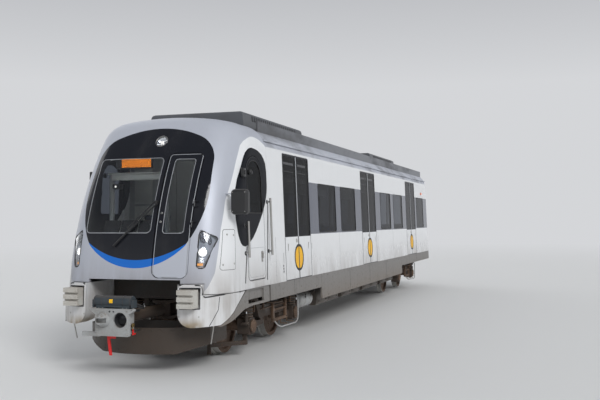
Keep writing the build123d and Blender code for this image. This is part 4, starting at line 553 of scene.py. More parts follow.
def wheel_steel():
    """Bright tread and rim edge, brown dusty web and hub."""
    finish = Finish("wheel_steel", rough=0.4)
    along = finish.minus(finish.x, (FRONT_BOGIE_X + REAR_BOGIE_X) / 2)
    along = finish.minus(finish.math("ABSOLUTE", along), (FRONT_BOGIE_X - REAR_BOGIE_X) / 2)
    along = finish.minus(finish.math("ABSOLUTE", along), WHEELBASE / 2)
    rise = finish.minus(finish.z, AXLE_Z)
    radius = finish.math("SQRT", finish.plus(finish.times(along, along), finish.times(rise, rise)))
    tread = finish.over(radius, 0.420, 0.0005)
    dusty = finish.noise(20.0, 5.0)
    web = finish.mix(finish.step(dusty, 0.35, 0.7), BRAKE_BROWN, (0.15, 0.10, 0.07))
    finish.color(finish.mix(tread, web, (0.50, 0.49, 0.47)))
    finish.metal(tread)
    finish.rough(finish.minus(0.75, finish.times(tread, 0.5)))
    finish.bump((dusty, 0.0006))
    return finish.material


def roof_paint():
    """Grey roof with soot, streaks and a coarse non-slip grain, silver along its sides."""
    finish = Finish("roof_paint", rough=0.5)
    soot = finish.step(finish.noise(2.2, 5.0, stretch=(0.4, 1.0, 1.0)), 0.42, 0.75)
    shade = finish.mix(finish.over(finish.z, CANTRAIL_Z, 0.003), WHITE, (0.095, 0.10, 0.11))
    shade = finish.mix(finish.step(finish.math("ABSOLUTE", finish.y), 1.03, 1.05), shade, SILVER)
    finish.color(finish.mix(finish.times(soot, 0.55), shade, (0.06, 0.055, 0.05)))
    finish.rough(finish.plus(0.4, finish.times(soot, 0.35)))
    finish.bump((finish.noise(300.0, 2.0), 0.0004), (finish.noise(1.4, 1.0), 0.003))
    return finish.material


def cloth(name, color):
    """Woven seat cloth."""
    finish = Finish(name, rough=0.9)
    finish.shader.inputs["Sheen Weight"].default_value = 0.4
    across = finish.math("SINE", finish.times(finish.x, 1900.0))
    along = finish.math("SINE", finish.times(finish.plus(finish.y, finish.z), 1900.0))
    weave = finish.times(across, along)
    shade = finish.mix(finish.step(weave, -0.6, 0.6), color, tuple(c * 1.6 + 0.01 for c in color))
    finish.color(shade)
    finish.bump((weave, 0.0004))
    return finish.material


def glow(name, color, strength):
    """Lit surface with slightly uneven light."""
    finish = Finish(name, rough=0.3)
    finish.color(tuple(c * 0.5 for c in color))
    uneven = finish.step(finish.noise(60.0, 2.0), 0.2, 0.6)
    light = finish.mix(uneven, tuple(c * 0.8 for c in color), color)
    finish.feed(finish.shader.inputs["Emission Color"], light)
    finish.shader.inputs["Emission Strength"].default_value = strength
    return finish.material


M = {
    "cab": cab_paint(),
    "side": side_paint(),
    "leaf": leaf_paint(),
    "white": white_paint(),
    "mask": mask_paint("mask_paint", None),
    "front_door": mask_paint("front_door_paint", SILVER),
    "screen": glass("screen_glass", (0.74, 0.77, 0.78)),
    "tinted": glass("tinted_glass", (0.10, 0.11, 0.13), bend=1.09, film=0.03),
    "door_glass": glass("door_glass", (0.10, 0.105, 0.12), bend=1.09, film=0.03),
    "lens": glass("lens_glass", (0.92, 0.94, 0.96)),
    "seal": rubber("seal_rubber"),
    "bellows": rubber("bellows_rubber", (0.03, 0.03, 0.033)),
    "spring": rubber("spring_rubber", (0.06, 0.055, 0.05)),
    "cover": rubber("cover_rubber", (0.030, 0.042, 0.052)),
    "black": moulded("black_moulding", (0.015, 0.015, 0.016), 0.35),
    "desk": moulded("desk_moulding", (0.045, 0.048, 0.055), 0.5),
    "lining": moulded("lining_laminate", (0.40, 0.41, 0.40), 0.4, 120.0),
    "pale": moulded("pale_laminate", (0.62, 0.62, 0.58), 0.4, 120.0),
    "bench": moulded("bench_moulding", (0.035, 0.09, 0.24), 0.4),
    "steel": metal("brushed_steel", (0.45, 0.44, 0.42), 0.28, (1.0, 1.0, 0.05)),
    "chrome": metal("lamp_chrome", (0.82, 0.83, 0.85), 0.12),
    "coupler": gear("coupler_paint", (0.36, 0.37, 0.37), (0.16, 0.13, 0.10), 0.35, 0.4, 0.5),
    "casting": gear("block_paint", (0.56, 0.55, 0.51), (0.30, 0.25, 0.20), 0.40, 0.3, 0.5),
    "bogie": gear("bogie_paint", (0.045, 0.034, 0.027), (0.050, 0.031, 0.021), wear=0.75),
    # Lighter copy of the bogie paint for parts that catch the light: a painted highlight
    "bogie_painted_highlight": gear("bogie_painted_highlight", (0.15, 0.090, 0.055), (0.060, 0.038, 0.026), amount=0.7, wear=0.8),
    "under": gear("under_paint", (0.045, 0.042, 0.040), (0.040, 0.028, 0.020), amount=0.6),
    "case": skirt_paint("case_paint", (0.07, 0.066, 0.062), 0.35),
    "skirt": skirt_paint("skirt_paint", (0.20, 0.19, 0.18)),
    "plough": skirt_paint("plough_paint", (0.030, 0.021, 0.016), 0.12),
    "tank": gear("tank_paint", (0.42, 0.43, 0.43), (0.20, 0.18, 0.16), 0.45, 0.3, 0.5),
    "red": moulded("red_paint", (0.62, 0.012, 0.012), 0.35),
    "yellow": moulded("yellow_film", (0.90, 0.46, 0.001), 0.55),
    "border": moulded("black_film", (0.006, 0.006, 0.007), 0.6),
    # Pale grey: a painted highlight on seal lips, and the own grey of the door panel line and desk edge
    "lip": moulded("pale_lip_and_painted_highlight", (0.30, 0.31, 0.33), 0.35),
    "line": moulded("dark_line", (0.035, 0.036, 0.040), 0.5),
    "housing": moulded("lamp_housing", (0.46, 0.47, 0.50), 0.25),
    "dark_chrome": metal("dark_chrome", (0.10, 0.105, 0.12), 0.12),
    "mirror": metal("mirror_glass", (0.70, 0.72, 0.75), 0.05),
    "brass": metal("brass_fitting", (0.45, 0.33, 0.14), 0.3),
    "hose": rubber("hose_rubber", (0.02, 0.02, 0.022)),
    "screen_glow": glow("screen_glow", (0.10, 0.22, 0.36), 0.8),
    "ceiling": glow("ceiling_light", (1.0, 0.97, 0.90), 0.9),
    "headlamp": glow("headlamp_light", (1.0, 0.97, 0.90), 2.2),
    # Lit bulb of the roof lamp; on the cab camera's lens it is a painted glint
    "bulb": glow("bulb_light_and_painted_glint", (1.0, 0.97, 0.92), 1.0),
    "marker": glow("marker_amber", (1.0, 0.42, 0.08), 0.7),
    "amber": glow("amber_led", (1.0, 0.27, 0.004), 4.5),
    "orange": glow("orange_lamp", (1.0, 0.18, 0.01), 0.6),
    "wheel": wheel_steel(),
    "roof": roof_paint(),
    "cloth": cloth("seat_cloth", (0.03, 0.034, 0.05)),
}

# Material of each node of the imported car
NODE_FINISH = {
    "cab": ["cab_shell", "cab_door_left", "cab_door_right"],
    "side": ["left_side_wall", "right_side_wall"],
    "leaf": ["left_door_leaves", "right_door_leaves"],
    "white": ["front_bumper", "rear_end_wall"],
    "mask": ["front_mask"],
    "front_door": ["front_door"],
    "screen": ["windscreen", "front_door_glass"],
    "tinted": ["cab_window_left", "cab_window_right", "saloon_windows"],
    "door_glass": ["saloon_door_glass"],
    "lens": ["lamp_lenses"],
    "bellows": ["gangway"],
    "spring": ["front_primary_springs", "rear_primary_springs", "front_air_springs", "rear_air_springs"],
    "cover": ["coupler_cover"],
    "black": ["mirror_left", "wiper", "destination_display"],
    "desk": ["driver_desk"],
    "lining": ["cab_bulkhead", "bulkhead_door"],
    "bench": ["passenger_benches"],
    "steel": ["cab_handrails", "grab_poles"],
    "coupler": ["coupler_head"],
    "casting": ["anti_climbers"],
    "bogie": ["front_axleboxes", "rear_axleboxes", "front_bogie_frame", "rear_bogie_frame",
              "front_traction_motors", "rear_traction_motors", "coupler_shank", "coupler_anchor",
              "rear_drawbar"],
    "under": ["headstock", "floor_frame"],
    "case": ["equipment_cases"],
    "skirt": ["side_skirts"],
    "plough": ["snow_plough"],
    "tank": ["air_tank"],
    "red": ["uncoupling_lever"],
    "wheel": ["wheelset_1", "wheelset_2", "wheelset_3", "wheelset_4"],
    "roof": ["roof_shell", "roof_pods"],
    "cloth": ["driver_seat"],
}

# Record's slot of the added pieces in each finish, where a piece names no other
SLOT_OF = {
    "lip": "black_plastic", "seal": "black_plastic", "line": "black_plastic", "border": "black_plastic",
    "hose": "black_plastic", "black": "black_plastic", "steel": "rail_steel", "brass": "rail_steel",
    "housing": "silver_paint", "dark_chrome": "lamp_glass", "chrome": "lamp_glass",
    "headlamp": "lamp_glass", "marker": "lamp_glass", "bulb": "lamp_glass", "ceiling": "lamp_glass",
    "orange": "lamp_glass", "amber": "display_black", "screen_glow": "display_black",
    "pale": "desk_plastic", "lining": "desk_plastic", "desk": "desk_plastic", "coupler": "coupler_grey",
    "casting": "grey_casting", "mirror": "tinted_glass", "bogie": "bogie_brown",
    "bogie_painted_highlight": "bogie_brown", "tank": "tank_grey", "case": "case_grey", "under": "dirty_steel",
    "plough": "dirty_steel", "skirt": "skirt_grey", "roof": "roof_grey", "red": "red_paint", "yellow": None,
}


def dress_nodes():
    """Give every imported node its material."""
    for key, names in NODE_FINISH.items():
        for name in names:
            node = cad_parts[name]
            node.data.materials.clear()
            node.data.materials.append(M[key])


# Solids of the added pieces

AHEAD, LEFT, UP = AXES = (Vector((1, 0, 0)), Vector((0, 1, 0)), Vector((0, 0, 1)))
# Edges that turn by more than this, in radians, stay sharp
SHARP_ANGLE = 0.65
# Turned solids end in a ring of this radius instead of a point
LEAST_RADIUS = 0.0003


def turns_of(count):
    """Even steps round a circle."""
    return [2 * math.pi * i / count for i in range(count)]


def oval(centre, first, second, wide, high, count):
    """Points of an oval about a centre, in the plane of two axes."""
    return [Vector(centre) + first * (wide * math.cos(turn)) + second * (high * math.sin(turn))
            for turn in turns_of(count)]


class Shape:
    """Mesh of one added piece, made up from simple solids."""

    def __init__(self):
        self.mesh = bmesh.new()

    def block(self, centre, size, bevel=0.003, axes=AXES):
        """Box about its centre along its own axes, with rounded edges."""
        corners = bmesh.ops.create_cube(self.mesh, size=1.0)["verts"]
        for corner in corners:
            shares = corner.co.copy()
            spot = Vector(centre)
            for axis, share, length in zip(axes, shares, size):
                spot += Vector(axis) * (share * length)
            corner.co = spot
        edges = list({edge for corner in corners for edge in corner.link_edges})
        bmesh.ops.bevel(self.mesh, geom=edges, offset=min(bevel, 0.4 * min(size)), segments=2,
                        profile=0.5, affect="EDGES")

    def span(self, low, high, bevel=0.003):
        """Box between two corners, with rounded edges."""
        low, high = Vector(low), Vector(high)
        self.block((low + high) / 2, high - low, bevel)

    def rings(self, rows, closed=False, capped=True):
        """Skin over rows of points, each row a closed ring."""
        made = [[self.mesh.verts.new(point) for point in row] for row in rows]
        count = len(rows[0])
        pairs = list(zip(made, made[1:]))
        if closed:
            pairs.append((made[-1], made[0]))
        for first, second in pairs:
            for i in range(count):
                j = (i + 1) % count
                self.mesh.faces.new((first[i], first[j], second[j], second[i]))
        if capped and not closed:
            self.mesh.faces.new(list(reversed(made[0])))
            self.mesh.faces.new(made[-1])

    def lathe(self, centre, axis, profile, sides=20):
        """Turned solid from pairs of distance along the axis and radius."""
        along = Vector(axis).normalized()
        across = along.orthogonal().normalized()
        rise = along.cross(across)
        rows = []
        for reach, radius in profile:
            radius = max(radius, LEAST_RADIUS)
            rows.append(oval(Vector(centre) + along * reach, across, rise, radius, radius, sides))
        self.rings(rows)

    def rod(self, start, end, radius, sides=12):
        """Round bar with softened ends."""
        start, end = Vector(start), Vector(end)
        reach = (end - start).length
        edge = min(0.25 * radius, 0.25 * reach)
        self.lathe(start, end - start, [(0, radius - edge), (edge, radius), (reach - edge, radius),
                                        (reach, radius - edge)], sides)

    def bolt(self, spot, axis, radius, height):
        """Hexagon head on a washer."""
        self.lathe(spot, axis, [(-0.002, 1.45 * radius), (0.15 * height, 1.45 * radius),
                                (0.22 * height, 1.3 * radius)], 14)
        self.lathe(spot, axis, [(0.1 * height, radius), (0.85 * height, radius), (height, 0.8 * radius)], 6)

    def sweep(self, path, profile, rises=None, closed=False):
        """Profile carried along a path, its second coordinate along the rises where they are given."""
        path = [Vector(point) for point in path]
        count = len(path)
        rows = []
        turned = None
        for i, spot in enumerate(path):
            before = path[i - 1] if i > 0 or closed else spot
            after = path[(i + 1) % count] if i < count - 1 or closed else spot
            along = (after - before).normalized()
            if rises:
                rise = Vector(rises[i])
            elif turned is None:
                rise = along.orthogonal()
            else:
                rise = turned
            rise = (rise - along * rise.dot(along)).normalized()
            turned = rise
            side = along.cross(rise)
            rows.append([spot + side * a + rise * b for a, b in profile])
        self.rings(rows, closed)

    def tube(self, path, radius, sides=10, bend=0.0):
        """Round pipe along a path, its corners rounded to the bend radius."""
        path = [Vector(point) for point in path]
        if bend:
            path = soften(path, bend)
        self.sweep(path, round_profile(radius, sides))

    def bead(self, path, rises, width, height, closed=True, sunk=0.001):
        """Low rounded strip along a path on a surface."""
        half = width / 2
        profile = [(-half, -sunk), (-half, 0.5 * height), (-0.55 * half, height), (0.55 * half, height),
                   (half, 0.5 * height), (half, -sunk)]
        self.sweep(path, profile, rises, closed)

    def line(self, place, outline, width, height, closed=True, **more):
        """Strip along an outline laid on the skin."""
        spots, rises = trace(place, outline, **more)
        self.bead(spots, rises, width, height, closed)

    def dish(self, rows):
        """Open skin over rows of points, each row a closed ring, closed at its last row."""
        self.rings(rows, capped=False)
        self.mesh.faces.new([self.mesh.verts.new(point) for point in rows[-1]])

    def finish(self, name, material, body, slot):
        """Object of the shape, on its body, with its material; the slot is not used."""
        bmesh.ops.remove_doubles(self.mesh, verts=self.mesh.verts[:], dist=0.00002)
        bmesh.ops.recalc_face_normals(self.mesh, faces=self.mesh.faces[:])
        for face in self.mesh.faces:
            face.smooth = True
        for edge in self.mesh.edges:
            if len(edge.link_faces) == 2 and edge.calc_face_angle(0.0) > SHARP_ANGLE:
                edge.smooth = False
        mesh = bpy.data.meshes.new(name)
        self.mesh.to_mesh(mesh)
        self.mesh.free()
        mesh.materials.append(M[material])
        piece = bpy.data.objects.new(name, mesh)
        bpy.context.scene.collection.objects.link(piece)
        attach(piece, body)


PIECES = []


def new_piece(name, material, body="carbody", slot=None):
    """Empty shape, to be filled and then made an object by finish_pieces."""
    shape = Shape()
    PIECES.append((shape, name, material, body, slot or SLOT_OF[material]))
    return shape


def finish_pieces():
    """Make the objects of all shapes filled so far, in their order."""
    for shape, *labels in PIECES:
        shape.finish(*labels)
    PIECES.clear()


def round_profile(radius, sides=10):
    """Points of a circle."""
    return [(radius * math.cos(turn), radius * math.sin(turn)) for turn in turns_of(sides)]


def soften(path, bend):
    """Path with each inner corner turned into a short arc."""
    result = [path[0]]
    for before, here, after in zip(path, path[1:], path[2:]):
        into = (here - before).normalized()
        out = (after - here).normalized()
        reach = min(bend, 0.45 * (here - before).length, 0.45 * (after - here).length)
        start, end = here - into * reach, here + out * reach
        for i in range(6):
            share = i / 5
            result.append((start.lerp(here, share)).lerp(here.lerp(end, share), share))
    result.append(path[-1])
    return result


def rounded(corners, radius, spacing=0.06):
    """Points along a closed outline in two coordinates, with rounded corners."""
    count = len(corners)
    points = []
    for i, corner in enumerate(corners):
        here = Vector(corner)
        into = (here - Vector(corners[i - 1])).normalized()
        out = (Vector(corners[(i + 1) % count]) - here).normalized()
        size = radius[i] if isinstance(radius, (list, tuple)) else radius
        turn = into.angle_signed(out)
        if size == 0 or abs(turn) < 0.01:
            points.append(here)
            continue
        reach = size * math.tan(abs(turn) / 2)
        side = Vector((-into.y, into.x))
        if side.dot(out) < 0:
            side = -side
        middle = here - into * reach + side * size
        arm = -side * size
        steps = max(3, int(abs(turn) / 0.2))
        sign = 1 if into.x * out.y - into.y * out.x > 0 else -1
        for k in range(steps + 1):
            angle = sign * abs(turn) * k / steps
            cosine, sine = math.cos(angle), math.sin(angle)
            points.append(middle + Vector((arm.x * cosine - arm.y * sine, arm.x * sine + arm.y * cosine)))
    return filled(points, spacing)


def filled(points, spacing, closed=True):
    """The same line with more points on its long runs."""
    result = []
    ends = points[1:] + points[:1] if closed else points[1:]
    for first, second in zip(points, ends):
        steps = max(1, int((second - first).length / spacing))
        result += [first.lerp(second, k / steps) for k in range(steps)]
    if not closed:
        result.append(points[-1])
    return result


def shrunk(points, amount):
    """Closed outline in two coordinates moved inwards."""
    middle = sum(points, Vector((0, 0))) / len(points)
    result = []
    for i, point in enumerate(points):
        along = (points[(i + 1) % len(points)] - points[i - 1]).normalized()
        side = Vector((-along.y, along.x))
        if side.dot(middle - point) < 0:
            side = -side
        result.append(point + side * amount)
    return result


# Places on the car's skin

def skin(*names):
    """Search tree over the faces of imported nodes."""
    spots, faces = [], []
    for name in names:
        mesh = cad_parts[name].data
        base = len(spots)
        spots += [vertex.co.copy() for vertex in mesh.vertices]
        faces += [[base + i for i in polygon.vertices] for polygon in mesh.polygons]
    return BVHTree.FromPolygons(spots, faces)


CEILING_TREE = skin("roof_shell", "cab_shell")
NOSE_TREE = skin("cab_shell", "front_mask", "lamp_lenses", "front_bumper", "front_door", "front_door_glass",
                 "windscreen")
SIDE_TREE = skin("cab_shell", "left_side_wall", "right_side_wall")
LEAF_TREE = skin("left_door_leaves", "right_door_leaves", "saloon_door_glass")
SKIRT_TREE = skin("side_skirts")
PLOUGH_TREE = skin("snow_plough")
ROOF_TREE = skin("roof_shell", "roof_pods")
REAR_TREE = skin("rear_end_wall")
# Starts of the rays: well outside the car
RAY_Y = 3.0
RAY_FRONT_X = 12.0
RAY_TOP_Z = 6.0
# A place is taken from beside a joint when that lies further forward than JOINT
JOINT = 0.05
ASIDE = [(0, 0), (0.008, 0), (-0.008, 0), (0, 0.008), (0, -0.008),
         (0.016, 0), (-0.016, 0), (0, 0.016), (0, -0.016)]
# The cab side turns into the nose from here on
CURVE_X = 7.3
# Inward lean of the sides over their height
SIDE_LEAN = 0.08 / 2.1


def from_side(tree, x, z, side):
    """Point and normal where a level ray from one side meets the tree, or two Nones."""
    return tree.ray_cast(Vector((x, side * RAY_Y, z)), Vector((0, -side, 0)))[:2]


def from_front(tree, y, z):
    """Point and normal where a level ray from ahead meets the tree, or two Nones."""
    return tree.ray_cast(Vector((RAY_FRONT_X, y, z)), -AHEAD)[:2]


def on_nose(y, z):
    """Point and normal on the nose's face, taken from beside an open joint."""
    best = None
    for across, up in ASIDE:
        spot, normal = from_front(NOSE_TREE, y + across, z + up)
        if spot is not None and normal.x > 0.2 and (best is None or spot.x > best[0].x + JOINT):
            best = (spot, normal)
    return Vector((best[0].x, y, z)), best[1]


def on_roof(x, y):
    """Point and normal on the roof or a pod."""
    return ROOF_TREE.ray_cast(Vector((x, y, RAY_TOP_Z)), -UP)[:2]


def side_y(z):
    """Half width of the body at a height."""
    return HALF_W - SIDE_LEAN * (z - FLOOR_Z)


def on_side(x, z, side):
    """Point and normal on the body's side, also where the cab side turns into the nose."""
    if x > CURVE_X:
        return from_side(SIDE_TREE, x, z, side)
    return Vector((x, side * side_y(z), z)), Vector((0, side, SIDE_LEAN)).normalized()


def nearest_on_nose(points):
    """Nearest points and normals on the nose."""
    found = [NOSE_TREE.find_nearest(point) for point in points]
    return [row[0] for row in found], [row[1] for row in found]


def trace(place, points, **more):
    """Points and normals of an outline laid on the skin."""
    pairs = [place(a, b, **more) for a, b in points]
    return [spot for spot, normal in pairs], [normal for spot, normal in pairs]


def box_outline(low_a, high_a, low_b, high_b):
    """Corners of a rectangle in two coordinates."""
    return [(low_a, low_b), (high_a, low_b), (high_a, high_b), (low_a, high_b)]


def upright(x, low, high, spacing):
    """Points up a line at one place along the car."""
    return filled([Vector((x, low)), Vector((x, high))], spacing, closed=False)


# Nose

SIDES = {1: "left", -1: "right"}
SCREEN = box_outline(-0.838, 0.205, 1.893, 2.963)
DOOR_PANE = box_outline(0.373, 0.695, 1.890, 2.937)
FRONT_DOOR = box_outline(0.284, 0.784, 1.296, 3.007)
KITE = [(0.903, 1.953), (1.118, 1.828), (1.000, 1.420), (0.905, 1.428)]
KITE_CORNERS = [0.045, 0.03, 0.03, 0.03]
# Place, half width and half height of each headlight reflector, and its depths with their shares of that size
REFLECTORS = [(0.962, 1.822, 0.040, 0.066), (1.030, 1.792, 0.030, 0.060)]
REFLECTOR_ROWS = [(0.022, 1.0), (0.0205, 0.93), (0.024, 0.86), (0.034, 0.55), (0.0355, 0.2)]
ROOF_LAMP = (0.068, 3.213)


def nose_seals():
    """Lips round the windscreen, door pane and front door, pale as a painted highlight, and the door's locks.
    """
    for name, outline, corner, inset, width, height, body, slot in (
            ("windscreen_seal", SCREEN, 0.07, 0.004, 0.012, 0.0035, "carbody", None),
            ("front_door_pane_seal", DOOR_PANE, 0.05, 0.004, 0.010, 0.003, "front_door", None),
            ("front_door_edge_trim", FRONT_DOOR, 0.05, 0.007, 0.009, 0.003, "front_door", "silver_paint")):
        strip = new_piece(name, "lip", body, slot)
        strip.line(on_nose, shrunk(rounded(outline, corner, 0.08), inset), width, height)
    locks = new_piece("front_door_locks", "steel", "front_door")
    for z in (2.05, 2.17):
        locks.lathe(*on_nose(0.335, z), [(-0.004, 0.016), (0.004, 0.016), (0.006, 0.012), (0.012, 0.010)], 16)


def headlight(side):
    """Silver housing with two dark reflectors, a bright lamp, fine bars and an amber marker."""
    word = SIDES[side]
    outline = [Vector((side * p.x, p.y)) for p in rounded(KITE, KITE_CORNERS, 0.05)]
    spots, rises = trace(on_nose, outline)
    facing = sum(rises, Vector()).normalized()
    middle = sum(spots, Vector()) / len(spots)
    across = UP.cross(facing).normalized()
    axes = (facing, across, facing.cross(across))

    def sunk(depth, share):
        return [middle + (spot - middle) * share - facing * depth for spot in spots]

    def behind(y, z, depth=0.0):
        return on_nose(side * y, z)[0] - facing * depth

    trim = new_piece(f"headlight_frame_{word}", "seal")
    trim.bead(spots, rises, 0.016, 0.004)
    housing = new_piece(f"headlight_housing_{word}", "housing")
    housing.dish([sunk(0.0205, 0.975), sunk(0.030, 0.94), sunk(0.036, 0.88)])
    cups = new_piece(f"headlight_reflectors_{word}", "dark_chrome")
    for y, z, wide, high in REFLECTORS:
        cups.rings([oval(behind(y, z, depth), *axes[1:], wide * share, high * share, 28)
                    for depth, share in REFLECTOR_ROWS])
    rims = new_piece(f"headlight_bezels_{word}", "chrome")
    lamp_at = behind(0.968, 1.640)
    rims.lathe(lamp_at, -facing, [(0.036, 0.062), (0.021, 0.064), (0.0195, 0.058), (0.026, 0.050),
                                  (0.036, 0.046)], 28)
    for k in range(5):
        rims.block(behind(0.955, 1.560 - 0.013 * k, 0.027), (0.005, 0.085, 0.006), 0.0015, axes)
    bright = new_piece(f"headlight_lamp_{word}", "headlamp")
    bright.lathe(lamp_at, -facing, [(0.030, 0.047), (0.024, 0.044), (0.0215, 0.030), (0.0205, 0.010)], 24)
    marker = new_piece(f"headlight_marker_{word}", "marker")
    marker.block(behind(0.948, 1.478, 0.027), (0.009, 0.075, 0.032), 0.004, axes)


def roof_lamp():
    """Round lamp over the windscreen: bezel, reflector bowl and bulb shield."""
    spot, normal = on_nose(*ROOF_LAMP)
    rise = normal.cross(LEFT)
    ring = new_piece("roof_lamp_bezel", "steel")
    ring.sweep(oval(spot, LEFT, rise, 0.091, 0.091, 32),
               [(-0.008, -0.003), (-0.008, 0.002), (-0.004, 0.005), (0.004, 0.005), (0.008, 0.002),
                (0.008, -0.003)], [normal] * 32, True)
    bowl = new_piece("roof_lamp_bowl", "chrome")
    bowl.lathe(spot, -normal, [(0.070, 0.030), (0.026, 0.085), (0.0215, 0.085), (0.0215, 0.080),
                               (0.045, 0.060), (0.060, 0.032), (0.062, 0.001)], 28)
    shield = new_piece("roof_lamp_bulb", "bulb")
    shield.lathe(spot, -normal, [(0.060, 0.010), (0.040, 0.020), (0.030, 0.026), (0.026, 0.024),
                                 (0.025, 0.004)], 20)
    hub = spot - normal * 0.030
    for turn in (0.5, 2.6, 4.7):
        arm = LEFT * math.cos(turn) + rise * math.sin(turn)
        shield.rod(hub + arm * 0.022, hub + arm * 0.078, 0.003, 8)


SIGN_X = 7.6005
SIGN_LOW = (-0.545, 2.838)
SIGN_HIGH = (-0.068, 2.972)
SIGN_COLUMNS = 40
SIGN_ROWS = 9
SIGN_RIM = 0.016


def sign_lights():
    """Even field of amber dots in the sign's window, with a black bezel."""
    dots = new_piece("sign_dots", "amber")
    for i in range(SIGN_COLUMNS):
        for k in range(SIGN_ROWS):
            y = SIGN_LOW[0] + (SIGN_HIGH[0] - SIGN_LOW[0]) * (i + 0.5) / SIGN_COLUMNS
            z = SIGN_LOW[1] + (SIGN_HIGH[1] - SIGN_LOW[1]) * (k + 0.5) / SIGN_ROWS
            dots.lathe((SIGN_X, y, z), AHEAD, [(-0.001, 0.0034), (0.0012, 0.0030), (0.0022, 0.0014)], 6)
    bezel = new_piece("sign_bezel", "black", slot="display_black")
    outline = box_outline(SIGN_LOW[0] - SIGN_RIM, SIGN_HIGH[0] + SIGN_RIM,
                          SIGN_LOW[1] - SIGN_RIM, SIGN_HIGH[1] + SIGN_RIM)
    points = [Vector((SIGN_X, p.x, p.y)) for p in rounded(outline, 0.012, 0.3)]
    bezel.bead(points, [AHEAD] * len(points), 0.012, 0.005)


# Inside of the cab

# Height under all ceilings, from which their inner faces are looked for
UNDER_CEILING_Z = 3.18
CAMERA_AT = Vector((7.62, -0.60, 2.56))
SCREEN_YS = (-0.62, -0.34, -0.06)


def ceiling_z(x, y):
    """Height just inside the roof's inner face over a place in the cab or saloon."""
    return CEILING_TREE.ray_cast(Vector((x, y, UNDER_CEILING_Z)), UP)[0].z + 0.003


def cab_lining():
    """Visor beam on two posts, and the panels on the wall behind the driver."""
    beam = new_piece("cab_visor_beam", "pale")
    beam.span((7.50, -0.74, 2.655), (7.56, 0.10, 2.745), 0.012)
    beam.span((7.48, -0.80, 2.745), (7.58, 0.24, 2.765), 0.006)
    posts = new_piece("cab_window_posts", "lining")
    for y in (-0.768, 0.140):
        posts.span((7.465, y - 0.030, FLOOR_Z), (7.525, y + 0.030, 2.750), 0.010)
    panels = new_piece("cab_wall_panels", "pale")
    for low, high in ((1.16, 1.70), (1.74, 2.30), (2.34, 2.90)):
        for y in (-0.91, 0.91):
            panels.span((6.283, y - 0.16, low), (6.300, y + 0.16, high), 0.005)
            panels.rod((6.300, y - 0.12, (low + high) / 2), (6.306, y - 0.12, (low + high) / 2), 0.012)


def cab_lights():
    """Ceiling lamp on its hangers, and the camera behind the windscreen."""
    hangers = new_piece("cab_lamp_hangers", "steel")
    for x in (6.80, 7.20):
        for y in (-0.40, 0.40):
            hangers.rod((x, y, 3.130), (x, y, ceiling_z(x, y)), 0.010)
    lamp = new_piece("cab_ceiling_lamp", "ceiling")
    lamp.span((6.75, -0.45, 3.115), (7.25, 0.45, 3.135), 0.008)
    camera = new_piece("cab_camera", "black")
    camera.block(CAMERA_AT, (0.09, 0.13, 0.075), 0.012)
    camera.lathe(CAMERA_AT + AHEAD * 0.045, AHEAD, [(-0.005, 0.030), (0.012, 0.030), (0.016, 0.024)], 18)
    camera.rod((7.60, -0.60, 2.59), (7.55, -0.60, 2.66), 0.009)
    # The lens glows with the bulb material: a painted glint, the lens is no lamp
    eye = new_piece("cab_camera_lens_painted_glint", "bulb")
    eye.lathe(CAMERA_AT + AHEAD * 0.059, AHEAD, [(0.0, 0.018), (0.004, 0.014), (0.006, 0.004)], 16)


def cab_desk():
    """Three screens, a row of buttons, a lever and the desk's edge."""
    screens = new_piece("desk_screens", "black", slot="display_black")
    faces = new_piece("desk_screen_faces", "screen_glow")
    lean = Vector((-0.42, 0, 0.907)).normalized()
    depth = Vector((0.907, 0, 0.42)).normalized()
    axes = (depth, LEFT, lean)
    for y in SCREEN_YS:
        centre = Vector((7.74, y, 1.975))
        screens.block(centre, (0.045, 0.25, 0.20), 0.010, axes)
        screens.rod(centre - lean * 0.10, (7.78, y, 1.86), 0.018)
        faces.block(centre - depth * 0.0235, (0.003, 0.205, 0.150), 0.001, axes)
    controls = new_piece("desk_controls", "desk")
    controls.span((7.63, -0.84, 1.858), (7.98, 0.12, 1.872), 0.006)
    for k in range(9):
        spot = (7.66 + 0.03 * (k % 2), -0.80 + 0.105 * k, 1.870)
        controls.lathe(spot, UP, [(0, 0.012), (0.010, 0.012), (0.013, 0.009)], 14)
    controls.rod((7.67, -0.68, 1.868), (7.65, -0.68, 1.955), 0.008)
    controls.lathe((7.65, -0.68, 1.950), UP, [(0, 0.010), (0.008, 0.020), (0.022, 0.022), (0.034, 0.014)], 16)
    edge = new_piece("desk_edge", "lip", slot="desk_plastic")
    edge.span((7.595, -0.88, 1.835), (7.612, 0.16, 1.866), 0.005)


def crowned(centre, size, axes, name):
    """Cushion whose faces swell and whose sides pull in between its corners."""
    mesh = bmesh.new()
    bmesh.ops.create_cube(mesh, size=1.0)
    bmesh.ops.subdivide_edges(mesh, edges=mesh.edges[:], cuts=11, use_grid_fill=True)
    for vertex in mesh.verts:
        a, b, c = (2 * value for value in vertex.co)
        swell = (1 - abs(a) ** 2.6) * (1 - abs(b) ** 2.6)
        pull = 0.035 * (1 - a * a) * abs(b) ** 6 + 0.035 * (1 - b * b) * abs(a) ** 6
        crown = 1 + 0.22 * swell * (1 if c > 0 else 0.25)
        channel = 0.10 * math.exp(-((abs(a) - 0.58) / 0.05) ** 2) * max(c, 0) ** 2 * (1 - abs(b) ** 6)
        edge = 1 - 0.07 * (abs(c) ** 4)
        height = c * (crown - channel) * (0.80 + 0.04 * swell)
        shares = (a * (1 - pull) * edge, b * (1 - pull) * edge, height)
        spot = Vector(centre)
        for axis, share, length in zip(axes, shares, size):
            spot += Vector(axis) * (0.5 * share * length)
        vertex.co = spot
    for face in mesh.faces:
        face.smooth = True
    data = bpy.data.meshes.new(name)
    mesh.to_mesh(data)
    mesh.free()
    data.materials.append(M["cloth"])
    cushion = bpy.data.objects.new(name, data)
    bpy.context.scene.collection.objects.link(cushion)
    rounding = cushion.modifiers.new("rounding", "SUBSURF")
    rounding.levels = 1
    rounding.render_levels = 1
    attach(cushion, "carbody")
    return cushion


SEAT_TOP = 1.628


